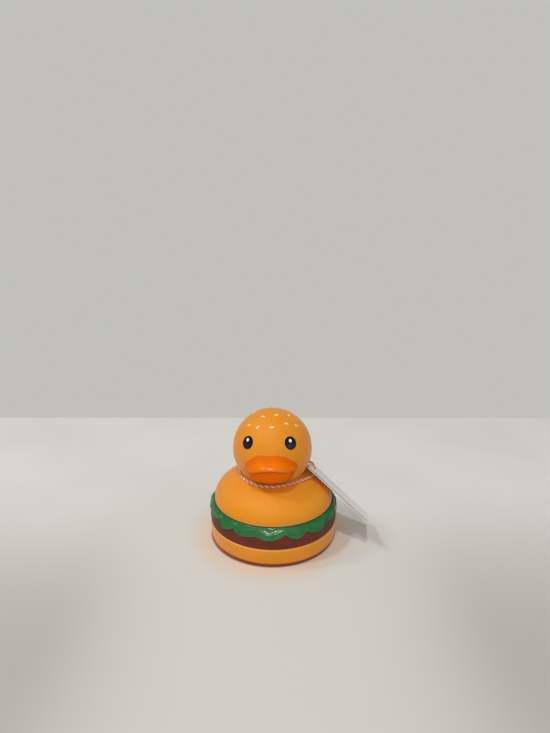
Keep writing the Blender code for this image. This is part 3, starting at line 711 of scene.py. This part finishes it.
frill = FRILL_DEPTH * np.sin(azimuths * FRILLS) * tip
frill += FINE_FRILL_DEPTH * np.sin(azimuths * FINE_FRILLS + 1.0)
hang = parting_hang + (middle_hang - parting_hang) * tip + frill
edge = SEAM - hang
outer = BODY_RADIUS + 0.05 + TIP_FLARE * tip + in_front_of
fold_depth = FOLD_START + FOLD_SLANT * (middle_hang - SHORT_LEAF) * share


def leaf_fold(depth):
    """How far the fold across each leaf stands proud at that depth below the seam."""
    return FOLD_PROUD * np.exp(-(((depth - fold_depth) / FOLD_WIDTH) ** 2)) * (0.35 + 0.65 * tip)


for climb in (0.15, 0.4, 0.65, 0.85, 0.96):
    radius = BODY_RADIUS - PATTY_SINK + PATTY_SWELL * math.sin(climb * math.pi)
    add_row(radius, PATTY_FOOT + (edge - PATTY_FOOT) * climb, PATTY)
add_row(BODY_RADIUS - PATTY_TUCK, edge + 0.12, PATTY)
for turn in (-115, -80, -50, -25, 0):
    turn = math.radians(turn)
    add_row(outer + RIM_PROUD - RIM + RIM * math.cos(turn), edge + RIM * (1 + math.sin(turn)), LETTUCE)
face = hang - RIM - SHOULDER_HANG
for k in range(1, FACE_ROWS + 1):
    climb = k / FACE_ROWS
    depth = SHOULDER_HANG + face * (1 - climb)
    fold = leaf_fold(depth) * math.sin(min(climb * 5, 1) * math.pi / 2)
    rim = RIM_PROUD * np.exp(-((face * climb / RIM_FADES) ** 2))
    slope = (outer - SHOULDER_RADIUS) * (1 - climb) + FACE_BELLY * math.sin(climb * math.pi)
    add_row(SHOULDER_RADIUS + slope + fold + rim, SEAM - depth, LETTUCE)
for k in range(1, SHOULDER_ROWS + 1):
    turn = math.radians(SHOULDER_TURN * k / SHOULDER_ROWS)
    radius = BUN_ACROSS + (SHOULDER_RADIUS - BUN_ACROSS) * math.cos(turn)
    radius = radius + leaf_fold(SHOULDER_HANG) * (1 - math.sin(turn))
    add_row(radius, SEAM - SHOULDER_HANG + (SHOULDER_HANG - SHOULDER_END) * math.sin(turn), LETTUCE)
add_row(BUN_ACROSS - 0.55, SEAM - 0.55, LETTUCE)
add_row(BUN_ACROSS - 0.50, SEAM - 0.45, BUN)
add_arc((BUN_ACROSS - BUN_LIP[0], SEAM + 0.05), BUN_LIP, -75, 0, 4, BUN)


def on_bun_arch(turn):
    """Radius of a point of the top bun's arch, and its height above the head's centre."""
    return BUN_ACROSS * math.cos(turn), SEAM + BUN_RISE * math.sin(turn) - HEAD_CENTRE


# the bun's arch as far as it meets the head, then the head from there up, with closer rows at the mouth
low, high = 0.0, math.pi / 2
for _ in range(HALVINGS):
    middle = (low + high) / 2
    low, high = (middle, high) if math.hypot(*on_bun_arch(middle)) > HEAD_RADIUS else (low, middle)
neck_radius, neck_height = on_bun_arch(low)
neck_turn = math.degrees(math.atan2(neck_height, neck_radius))
add_arc((0, SEAM), (BUN_ACROSS, BUN_RISE), 3, math.degrees(low), BUN_ROWS, BUN)
neck_row = len(rows) - 1
MOUTH = -1.3
GUM = -2.3
CHIN_STEP = 1.3
CROWN_STEP = 2.2
BILL_ROWS = (-9.0, 7.6)
CLOSEST_ROWS = 0.09
WIDEST_ROWS = 0.40


def head_heights(start, end, step):
    """Heights above the head's centre at even steps up its side, in degrees."""
    return [HEAD_RADIUS * math.sin(math.radians(turn)) for turn in np.arange(start, end, step)]


heights = head_heights(neck_turn + CHIN_STEP, -22, CHIN_STEP)
height = BILL_ROWS[0]
while height < BILL_ROWS[1]:
    heights.append(height)
    to_mouth = min(abs(height - MOUTH), abs(height - GUM))
    height += min(WIDEST_ROWS, CLOSEST_ROWS + 0.25 * to_mouth)
heights += head_heights(18.2, 89.4, CROWN_STEP)
first_head_row = len(rows)
for height in heights:
    add_row(math.sqrt(HEAD_RADIUS**2 - height**2), HEAD_CENTRE + height, BUN)

# the neck's fillet: the rows where the bun meets the head are smoothed
radii = np.array([row[0] for row in rows])
levels = np.array([row[1] for row in rows])
for _ in range(NECK_PASSES):
    for measure in (radii, levels):
        near = measure[neck_row - NECK_REACH - 1 : neck_row + NECK_REACH + 2]
        near[1:-1] = (near[:-2] + 2 * near[1:-1] + near[2:]) / 4


def through(points, at):
    """Values of a smooth curve through a few (place, value) points."""
    places = np.array([p for p, _ in points])
    values = np.array([v for _, v in points])
    slopes = np.gradient(values, places)
    k = np.clip(np.searchsorted(places, at, side="right") - 1, 0, len(places) - 2)
    gap = places[k + 1] - places[k]
    t = np.clip((at - places[k]) / gap, 0, 1)
    first = (1 + 2 * t) * (1 - t) ** 2 * values[k] + t * (1 - t) ** 2 * gap * slopes[k]
    return first + t * t * (3 - 2 * t) * values[k + 1] + t * t * (t - 1) * gap * slopes[k + 1]


# Bill, pressed forward out of the head's front: the upper bill runs from its root line down to the lip,
# which has a crease above it and ends in a round lobe at each side; the lower bill is set back.
# Measures in mm from the head's centre, aside and up.
BILL_HALF_WIDTH = 15.7
BILL_LEAN = -1.1
BILL_REACH = 8.1
LOWER_REACH = 6.6
SLIT_REACH = 5.6
CHIN = -15.0
ROOT_LINE = ((0, 5.3), (5.0, 5.1), (8.0, 4.4), (10.8, 2.4), (13.0, 0.5), (14.8, -1.5), (15.7, -3.4))
MOUTH_LINE = ((0, MOUTH), (4, -1.6), (8, -2.8), (11, -4.0), (13, -4.5), (15.7, -4.4))
MOUTH_TILT = 0.05
UPPER_RISE = (
    (0, 0),
    (0.20, 0.28),
    (0.35, 0.54),
    (0.45, 0.71),
    (0.52, 0.80),
    (0.58, 0.85),
    (0.66, 0.95),
    (0.74, 1.0),
    (0.85, 1.0),
    (0.95, 0.96),
    (1, 0.90),
)
LOWER_RISE = ((0, 0.90), (0.1, 1.0), (0.3, 0.99), (0.5, 0.89), (0.7, 0.65), (0.85, 0.34), (1, 0))
LOWER_WIDTH = ((0, 13.8), (0.2, 13.6), (0.5, 13.0), (0.8, 11.6), (1, 9.6))
SLIT_WIDER = 0.4
# how square and how full each half is, seen from above
UPPER_PLAN = (3.5, 0.55)
LOWER_PLAN = (3.2, 0.6)
# the mouth's sag fades out over these heights and this far round the head
SAG_HEIGHTS = (-15.5, GUM - 0.3, MOUTH + 0.3, 9)
SAG_END = math.radians(72)
SAG_EASE = math.radians(27)
SAG_PASSES = 4
BILL_SIDE = math.pi / 3
SOFTENING = 2
MOUTH_SHADE = 0.5
BILL_SKIN = 0.6

head = slice(first_head_row, len(rows))
head_turn = np.broadcast_to(np.where(azimuths > math.pi, azimuths - 2 * math.pi, azimuths), radii[head].shape)
up = levels[head] - HEAD_CENTRE
row_up = up.copy()
in_front = np.clip((SAG_END - np.abs(head_turn)) / SAG_EASE, 0, 1)
in_front = in_front * in_front * (3 - 2 * in_front)
sagging = np.interp(row_up, SAG_HEIGHTS, (0, 1, 1, 0)) * in_front


def from_bill_middle(up):
    """How far each point of the head lies to the right of the bill's middle, which leans to one side."""
    x = np.sqrt(HEAD_RADIUS**2 - up**2) * np.sin(head_turn)
    right = np.clip(x - BILL_LEAN * (1 - (x / BILL_HALF_WIDTH) ** 2), -BILL_HALF_WIDTH, BILL_HALF_WIDTH)
    return np.where(np.abs(head_turn) > BILL_SIDE, BILL_HALF_WIDTH, right)


def mouth_height(right):
    """How high the mouth lies there: it sags towards its ends, more so at the left."""
    return through(MOUTH_LINE, np.abs(right)) + MOUTH_TILT * right


def bill_plan(half_width, squareness, fullness):
    """1 in the middle of the bill, falling away to 0 at that half width."""
    return np.clip(1 - (aside / half_width) ** squareness, 0, 1) ** fullness


for _ in range(SAG_PASSES):
    up = row_up - (MOUTH - mouth_height(from_bill_middle(up))) * sagging
radii[head] = np.sqrt(HEAD_RADIUS**2 - up**2)
levels[head] = HEAD_CENTRE + up

right = from_bill_middle(up)
inside = np.abs(right) < BILL_HALF_WIDTH
aside = np.minimum(np.abs(right), BILL_HALF_WIDTH - 0.01)
mouth = mouth_height(right)
gum = mouth + GUM - MOUTH
root = through(ROOT_LINE, aside)
down = np.clip((root - up) / (root - mouth), 0, 1)
upper = BILL_REACH * bill_plan(BILL_HALF_WIDTH, *UPPER_PLAN) * through(UPPER_RISE, down)
down = np.clip((gum - up) / (gum - CHIN), 0, 1)
lower = LOWER_REACH * bill_plan(through(LOWER_WIDTH, down), *LOWER_PLAN) * through(LOWER_RISE, down)
slit_half = LOWER_WIDTH[0][1] + SLIT_WIDER
slit = SLIT_REACH * bill_plan(slit_half, *LOWER_PLAN)
rise = np.where(up > mouth, upper, np.where(up > gum, slit, lower)) * inside
for _ in range(SOFTENING):
    rise = (np.roll(rise, 1, axis=1) + 2 * rise + np.roll(rise, -1, axis=1)) / 4
    rise[1:-1] = (rise[:-2] + 2 * rise[1:-1] + rise[2:]) / 4
bill_rise = np.zeros_like(radii)
bill_rise[head] = rise
# where the mouth's crease lies, which carries painted shade in the bill's colour
in_mouth = np.exp(-(((up - (mouth + gum) / 2) / MOUTH_SHADE) ** 2))
mouth_crease_shade = np.zeros_like(radii)
mouth_crease_shade[head] = in_mouth * (aside < slit_half) * (rise > 0.02)
leaf_tip = (SEAM - levels) / np.maximum(hang, 1)


def skin_mesh():
    """The rows joined into one closed skin, with the paint of each face."""
    offset = BODY_OFFSET * np.interp(levels, (SEAM, SEAM + OFFSET_ENDS), (1, 0))
    x = radii * np.sin(azimuths) + offset
    y = -radii * np.cos(azimuths) - bill_rise
    ends = [(0, 0, rows[0][1][0]), (0, 0, HEAD_CENTRE + HEAD_RADIUS)]
    points = np.concatenate([np.stack([x, y, levels], axis=2).reshape(-1, 3), ends])
    faces, paints = [], []
    for k in range(1, len(rows)):
        below, above = (k - 1) * SIDES, k * SIDES
        for i in range(SIDES):
            j = (i + 1) % SIDES
            faces.append((below + i, below + j, above + j, above + i))
            on_bill = max(bill_rise[k - 1, i], bill_rise[k, i]) > BILL_SKIN
            paints.append(BILL if on_bill else rows[k][2])
    last = (len(rows) - 1) * SIDES
    for i in range(SIDES):
        j = (i + 1) % SIDES
        faces.append((j, i, len(points) - 2))
        faces.append((last + i, last + j, len(points) - 1))
        paints += [BUN, BUN]
    mesh = bpy.data.meshes.new("duck_skin")
    mesh.from_pydata((points * MM).tolist(), [], faces)
    mesh.polygons.foreach_set("material_index", paints)
    for name, values in (("bill_rise", bill_rise), ("mouth_crease_shade", mouth_crease_shade), ("leaf_tip", leaf_tip)):
        carried = mesh.attributes.new(name, "FLOAT", "POINT")
        carried.data.foreach_set("value", np.concatenate([values.ravel(), [0, 0]]))
    return mesh


# where the skin's paints change, in metres: the foot darkened with painted contact shade, the paler bands at
# the bun edges, the patty's orange foot and its ends darkened with painted shade, and the varnished front of
# the leaves and of the upper lip
FOOT_SHADE_BAND = (1.9 * MM, 2.9 * MM)
SEAM_EDGE = ((25.2 * MM, 25.4 * MM), (25.9 * MM, 26.6 * MM))
GROOVE_EDGE = ((10.6 * MM, 11.2 * MM), (11.9 * MM, 12.0 * MM))
PATTY_BAND = (12.2 * MM, 13.0 * MM)
PATTY_SHADE_SQUARED = (0.0002, 0.0009)
LEAF_VARNISH = (-39 * MM, -33 * MM)
LIP_RISE = (6.8, 7.5)
SKIN_EDGE_ANGLE = math.radians(50)


def band(height, low, high):
    """1 from where the height has risen over the pair low to where it starts on the pair high."""
    return height.rise(*low) * (1 - height.rise(*high))


def bill_shade(finish, rise):
    """Deep orange of the sprayed bill, redder and darker at its edges and lighter towards the lip as painted
    light, with painted shade along the crease of the mouth.
    """
    # painted light: the bill is lighter where it rises towards the lip
    shade = finish.mix(rise.rise(1.0, 6.0), colour(224, 105, 3), colour(243, 118, 2))
    # painted shade: darker along the crease of the mouth
    return finish.mix(finish.attribute("mouth_crease_shade").rise(0.3, 1.0) * 0.35, shade, colour(196, 84, 0))


def vinyl_finish():
    """Soft orange vinyl, with a thin soft edge of the bill's paint, a foot darkened with painted contact
    shade and paler bands at the bun edges.
    """
    constants = {"Specular IOR Level": 0.25, "Sheen Weight": 0.26, "Sheen Roughness": 0.4}
    vinyl = Finish("orange_vinyl", constants)
    flow = vinyl.noise(22 * MM, 3.0)
    mottle = vinyl.noise(3 * MM, 3.0)
    pores = vinyl.noise(0.35 * MM)
    shade = vinyl.mix(flow.rise(0.3, 0.7), colour(235, 149, 32), colour(230, 144, 24))
    shade = vinyl.mix(mottle.rise(0.5, 0.8) * 0.25, shade, colour(222, 138, 32))
    rise = vinyl.attribute("bill_rise")
    shade = vinyl.mix(rise.rise(0.05, 0.20), shade, bill_shade(vinyl, rise))
    height = vinyl.along("Z")
    # painted contact shade: the foot and the underside are darkened where the vinyl turns under towards the
    # table
    shade = vinyl.mix(1 - height.rise(*FOOT_SHADE_BAND), shade, colour(150, 60, 10))
    # paler bands just above the seam and just below the groove between the bottom bun and the patty
    pale_bun_edges = band(height, *SEAM_EDGE) + band(height, *GROOVE_EDGE)
    shade = vinyl.mix(pale_bun_edges * 0.7, shade, colour(238, 178, 98))
    vinyl.feed("Base Color", shade)
    vinyl.feed("Roughness", 0.46 + mottle * 0.12)
    vinyl.bump(pores * 0.6 + mottle * 0.4, 0.025 * MM)
    return vinyl.owner


def bill_finish():
    """The sprayed bill away from its edge: a little glossier than the bare vinyl, varnished on the lip."""
    paint = Finish("bill_paint", {"Specular IOR Level": 0.05, "Coat Roughness": 0.24})
    rise = paint.attribute("bill_rise")
    mottle = paint.noise(3 * MM, 3.0)
    shade = bill_shade(paint, rise)
    paint.feed("Base Color", paint.mix(mottle.rise(0.5, 0.8) * 0.3, shade, colour(232, 104, 0)))
    paint.feed("Roughness", 0.36 + mottle * 0.08)
    paint.feed("Coat Weight", rise.rise(*LIP_RISE) * 0.5)
    paint.bump(paint.noise(0.35 * MM) * 0.6 + mottle * 0.4, 0.025 * MM)
    return paint.owner


def patty_finish():
    """Brown sprayed paint, redder in patches and darker at both sides as painted shade, over a slightly
    coarse moulding.
    """
    patty = Finish("patty_paint", {"Specular IOR Level": 0.3})
    patches = patty.noise(6 * MM, 3.0)
    crumbs = patty.noise(0.9 * MM, 3.0)
    shade = patty.mix(patches.rise(0.35, 0.65), colour(100, 42, 26), colour(128, 34, 28))
    shade = patty.mix(crumbs.rise(0.45, 0.75) * 0.55, shade, colour(66, 34, 28))
    aside = patty.along("X")
    # painted shade: the patty darkens towards both sides
    shade = patty.mix((aside * aside).rise(*PATTY_SHADE_SQUARED) * 0.55, shade, colour(70, 40, 32))
    shade = patty.mix(1 - patty.along("Z").rise(*PATTY_BAND), shade, colour(126, 50, 12))
    patty.feed("Base Color", shade)
    patty.feed("Roughness", 0.38 + crumbs * 0.25)
    patty.bump(crumbs, 0.06 * MM)
    return patty.owner


def lettuce_finish():
    """Glossy green paint, olive with painted shade under the bun, lighter at the leaf edges and varnished in
    front.
    """
    leaf = Finish("lettuce_paint", {"Specular IOR Level": 0.3, "Coat Roughness": 0.1})
    patches = leaf.noise(5 * MM, 3.0)
    grain = leaf.noise(0.7 * MM)
    down = leaf.attribute("leaf_tip")
    shade = leaf.mix(patches.rise(0.35, 0.7), colour(22, 102, 48), colour(30, 116, 58))
    # painted shade: olive where the bun's lip overhangs the top of the leaves
    shade = leaf.mix(1 - down.rise(0.02, 0.16), shade, colour(40, 66, 22))
    shade = leaf.mix(down.rise(0.75, 1.0) * 0.35, shade, colour(50, 120, 58))
    leaf.feed("Base Color", shade)
    varnish = 1 - leaf.along("Y").rise(*LEAF_VARNISH)
    leaf.feed("Coat Weight", 0.03 + varnish * 0.6)
    leaf.feed("Roughness", 0.24 + patches * 0.12)
    leaf.bump(patches + grain * 0.25, 0.12 * MM)
    return leaf.owner


finishes = [vinyl_finish(), patty_finish(), lettuce_finish(), bill_finish()]
duck_skin = link_mesh(skin_mesh(), finishes)
duck_skin.data.set_sharp_from_angle(angle=SKIN_EDGE_ANGLE)
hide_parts("duck")


# Eyes
# Two ovals of glossy near-black paint with a brown rim, a thin pale outline and a white spot in their upper
# half. They are sprayed on through a mask, so they follow the head and stand only a paint's thickness proud.
EYE_HALF_SIZES = (4.2, 4.4)
EYE_PROUD = 0.16
EYE_SIDES = 56
SPOT_HALF_SIZES = (1.0, 1.08)
SPOT_PROUD = 0.24
SPOT_SIDES = 28
# azimuth and elevation of each eye and of its spot, in degrees
EYES = (((-39.3, 25.5), (-40.6, 28.9)), ((30.8, 27.2), (31.2, 30.4)))
# a pad's rings from its sunk edge inwards: the share of the way from its middle, and how proud it is there
PAD_RINGS = (
    (1.0, -0.3), (1.0, 0.0), (0.985, 0.45), (0.95, 0.75), (0.9, 0.9), (0.75, 0.97), (0.5, 1.0), (0.25, 1.0)
)


def add_pad(bm, place, turn, half_sizes, proud, sides, taper=0.0):
    """A low oval dome of paint on the head; its points carry their share of the way to its edge."""
    share_layer = bm.verts.layers.float.get("pad_share") or bm.verts.layers.float.new("pad_share")
    up_layer = bm.verts.layers.float.get("pad_up") or bm.verts.layers.float.new("pad_up")
    azimuth, elevation = (math.radians(a) for a in place)
    turn = math.radians(turn)
    flat = math.cos(elevation)
    out = Vector((math.sin(azimuth) * flat, -math.cos(azimuth) * flat, math.sin(elevation)))
    level = Vector((math.cos(azimuth), math.sin(azimuth), 0))
    steep = out.cross(level) if out.cross(level).z > 0 else level.cross(out)
    long_way = level * math.cos(turn) + steep * math.sin(turn)
    short_way = steep * math.cos(turn) - level * math.sin(turn)
    centre = Vector((0, 0, HEAD_CENTRE))

    def point(share, angle, lift):
        forward = math.cos(angle)
        across = math.sin(angle) * (1 - taper * forward)
        sideways = long_way * half_sizes[0] * forward + short_way * half_sizes[1] * across
        direction = (out * HEAD_RADIUS + sideways * share).normalized()
        vertex = bm.verts.new((centre + direction * (HEAD_RADIUS + lift)) * MM)
        vertex[share_layer] = share
        vertex[up_layer] = math.sin(angle) * share
        return vertex

    rings = []
    for share, rise in PAD_RINGS:
        lift = rise if rise < 0 else rise * proud
        rings.append([point(share, 2 * math.pi * i / sides, lift) for i in range(sides)])
    for inner, outer in zip(rings[1:], rings):
        for i in range(sides):
            j = (i + 1) % sides
            bm.faces.new((outer[i], outer[j], inner[j], inner[i]))
    close_ring(bm, rings[-1], point(0.0, 0.0, proud))
    bm.faces.new(rings[0][::-1])


def eye_finish():
    """Near-black gloss, with a painted bluish reflection in its lower half and a brown rim inside its pale
    outline.
    """
    eye = Finish("eye_paint", {"Specular IOR Level": 0.15})
    cloud = eye.noise(1.2 * MM)
    # painted reflection: bluer towards the lower half of each eye
    shade = eye.mix(1 - eye.attribute("pad_up").rise(-0.6, 0.5), colour(24, 11, 12), colour(36, 30, 46))
    to_edge = eye.attribute("pad_share")
    shade = eye.mix(to_edge.rise(0.55, 0.8), shade, colour(30, 13, 10))
    shade = eye.mix(cloud.rise(0.5, 0.8) * 0.4, shade, colour(14, 8, 12))
    shade = eye.mix(to_edge.rise(0.90, 0.95), shade, colour(222, 168, 98))
    eye.feed("Base Color", shade)
    eye.feed("Roughness", 0.22 + cloud * 0.12)
    return eye.owner


def spot_finish():
    """White paint, a little greyer at its edge."""
    spot = Finish("white_spot_paint", {"Specular IOR Level": 0.5})
    cloud = spot.noise(0.5 * MM)
    edge = spot.attribute("pad_share").rise(0.7, 1.0)
    spot.feed("Base Color", spot.mix(edge * 0.5 + cloud * 0.1, colour(248, 247, 250), colour(190, 186, 204)))
    spot.feed("Roughness", 0.3 + cloud * 0.1)
    return spot.owner


eye_bm = bmesh.new()
spot_bm = bmesh.new()
for eye_place, spot_place in EYES:
    add_pad(eye_bm, eye_place, 0, EYE_HALF_SIZES, EYE_PROUD, EYE_SIDES)
    add_pad(spot_bm, spot_place, 0, SPOT_HALF_SIZES, SPOT_PROUD, SPOT_SIDES)
eyes = link_mesh(finished_mesh("eyes", eye_bm), [eye_finish()])
eye_spots = link_mesh(finished_mesh("eye_spots", spot_bm), [spot_finish()])


# Sesame seeds
# Fifteen small drops, each with a blunt and a pointed end, scattered over the crown.
# They are moulded in the vinyl and picked out with cream paint.
SEED_HALF_SIZES = (1.55, 0.68)
SEED_PROUD = 0.32
SEED_SIDES = 24
SEED_TAPER = 0.45
# azimuth, elevation and turn of each seed in degrees
SEEDS = (
    (-56, 48, 45),
    (-31, 50, 66),
    (1, 52, 0),
    (38.5, 55, -38),
    (61, 46, -52),
    (-37, 69, 12),
    (25, 74, 4),
    (76, 65, -2),
    (-104, 63, -35),
    (108, 54, 28),
    (138, 68, -20),
    (147, 47, 60),
    (-178, 56, 10),
    (-142, 50, -50),
    (-160, 74, 30),
)


def seed_finish():
    """Cream paint, warmer at the edge of each seed where it thins over the orange."""
    seed = Finish("seed_paint", {"Specular IOR Level": 0.45})
    cloud = seed.noise(0.6 * MM)
    edge = seed.attribute("pad_share").rise(0.75, 1.0)
    shade = seed.mix(cloud, colour(255, 224, 166), colour(252, 208, 144))
    seed.feed("Base Color", seed.mix(edge * 0.8, shade, colour(238, 178, 84)))
    seed.feed("Roughness", 0.36 + cloud * 0.15)
    seed.bump(cloud, 0.03 * MM)
    return seed.owner


seed_bm = bmesh.new()
for azimuth, elevation, turn in SEEDS:
    add_pad(seed_bm, (azimuth, elevation), turn, SEED_HALF_SIZES, SEED_PROUD, SEED_SIDES, SEED_TAPER)
seeds = link_mesh(finished_mesh("sesame_seeds", seed_bm), [seed_finish()])


# Table, wall and light
# A pale table top that ends at a pale wall behind the duck. Five soft lamps light it, most of them up on
# the left and in front, and with them the plain light of a white room.
TABLE_SIZE = 6.0
WALL_DISTANCE = 0.197
WALL_BLUR = 0.001
WALL_COLOUR = (193, 192, 187)
# squared distances from the duck's axis: the painted orange bounce light on the table, and the painted
# contact shadow round its foot
BOUNCE_LIGHT_SQUARED = (0.0015, 0.0034)
CONTACT_SHADOW_SQUARED = (0.0390**2, 0.0401**2)
ROOM_LIGHT = {"Color": (1.0, 0.98, 0.95, 1.0), "Strength": 0.285}
LAMP_COLOUR = (1.0, 0.99, 0.97)
LAMP_DISTANCE = 2.2
LAMP_AIM = Vector((0, 0, 0.04))
# azimuth from the front and elevation of each lamp in degrees, its size in metres and its power in watts
LAMPS = (
    ("left_lamp", -66, 60, 0.24, 9.2),
    ("ceiling_lamp", -8, 66, 0.18, 11.4),
    ("front_lamp", -3, 36, 0.30, 9.6),
    ("far_left_lamp", -92, 54, 0.20, 4.8),
    ("right_lamp", 55, 18, 0.50, 2.4),
)


def seen(finish):
    """1 for what the camera sees, straight or in gloss or glass, and 0 for what only lights."""
    rays = ("Is Camera Ray", "Is Glossy Ray", "Is Transmission Ray")
    straight, gloss, glass = (finish.node("ShaderNodeLightPath", {}, output=ray) for ray in rays)
    return straight + gloss + glass


def show_wall(finish, kind, share):
    """The plain colour of the wall in place of the finish's own shader, where share is 1."""
    own = Value(finish, finish.shader.outputs[0])
    wall = finish.node(kind, {}, {"Color": colour(*WALL_COLOUR), "Strength": 1.0})
    mixed = finish.node("ShaderNodeMixShader", {}, (share, own, wall))
    end = next(node for node in finish.tree.nodes if node.type.startswith("OUTPUT"))
    finish.tree.links.new(mixed.socket, end.inputs["Surface"])


def table_finish():
    """Pale laminate, lighter towards the back as painted light and greyer at the near corners as painted
    shade, with painted orange bounce light and a painted contact shadow round the duck's foot.
    """
    top = Finish("table_top", {"Specular IOR Level": 0.2, "Roughness": 0.7})
    back = top.along("Y")
    aside = top.along("X")
    haze = top.noise(0.09)
    # painted light: the table is lighter towards the back
    shade = top.mix(back.rise(-0.16, 0.10), colour(216, 214, 208), colour(228, 228, 223))
    shade = top.mix(haze.rise(0.3, 0.7) * 0.4, shade, colour(216, 215, 209))
    # painted shade: greyer towards the near corners
    near_corner_shade = (aside * aside).rise(0.0, 0.014) * (1 - back.rise(-0.12, 0.05))
    shade = top.mix(near_corner_shade, shade, colour(188, 185, 178))
    from_axis = aside * aside + back * back
    # painted bounce light: orange round the duck
    shade = top.mix((1 - from_axis.rise(*BOUNCE_LIGHT_SQUARED)) * 0.4, shade, colour(226, 186, 152))
    # painted contact shadow: a dark brown ring where the foot meets the table
    shade = top.mix((1 - from_axis.rise(*CONTACT_SHADOW_SQUARED)) * 0.85, shade, colour(158, 84, 40))
    top.feed("Base Color", shade)
    beyond = back.rise(WALL_DISTANCE - WALL_BLUR, WALL_DISTANCE + WALL_BLUR)
    show_wall(top, "ShaderNodeEmission", beyond * seen(top))
    return top.owner


table_bm = bmesh.new()
bmesh.ops.create_grid(table_bm, x_segments=1, y_segments=1, size=TABLE_SIZE)
table = add_object("table", finished_mesh("table", table_bm))
table.rotation_euler.z = CAMERA_TURN
table.data.materials.append(table_finish())

room = Finish("room", ROOM_LIGHT, bpy.data.worlds, "Background")
show_wall(room, "ShaderNodeBackground", seen(room))
bpy.context.scene.world = room.owner

for name, azimuth, elevation, size, power in LAMPS:
    lamp = add_object(name, bpy.data.lights.new(name, "AREA"))
    lamp.data.shape = "SQUARE"
    lamp.data.size = size
    lamp.data.energy = power
    lamp.data.color = LAMP_COLOUR
    turn, climb = math.radians(azimuth), math.radians(elevation)
    direction = Vector((math.cos(climb) * math.sin(turn), -math.cos(climb) * math.cos(turn), math.sin(climb)))
    lamp.location = direction * LAMP_DISTANCE
    lamp.rotation_mode = "QUATERNION"
    lamp.rotation_quaternion = (lamp.location - LAMP_AIM).to_track_quat("Z", "Y")
    lamp.visible_camera = False

bpy.context.scene.view_settings.view_transform = "Standard"
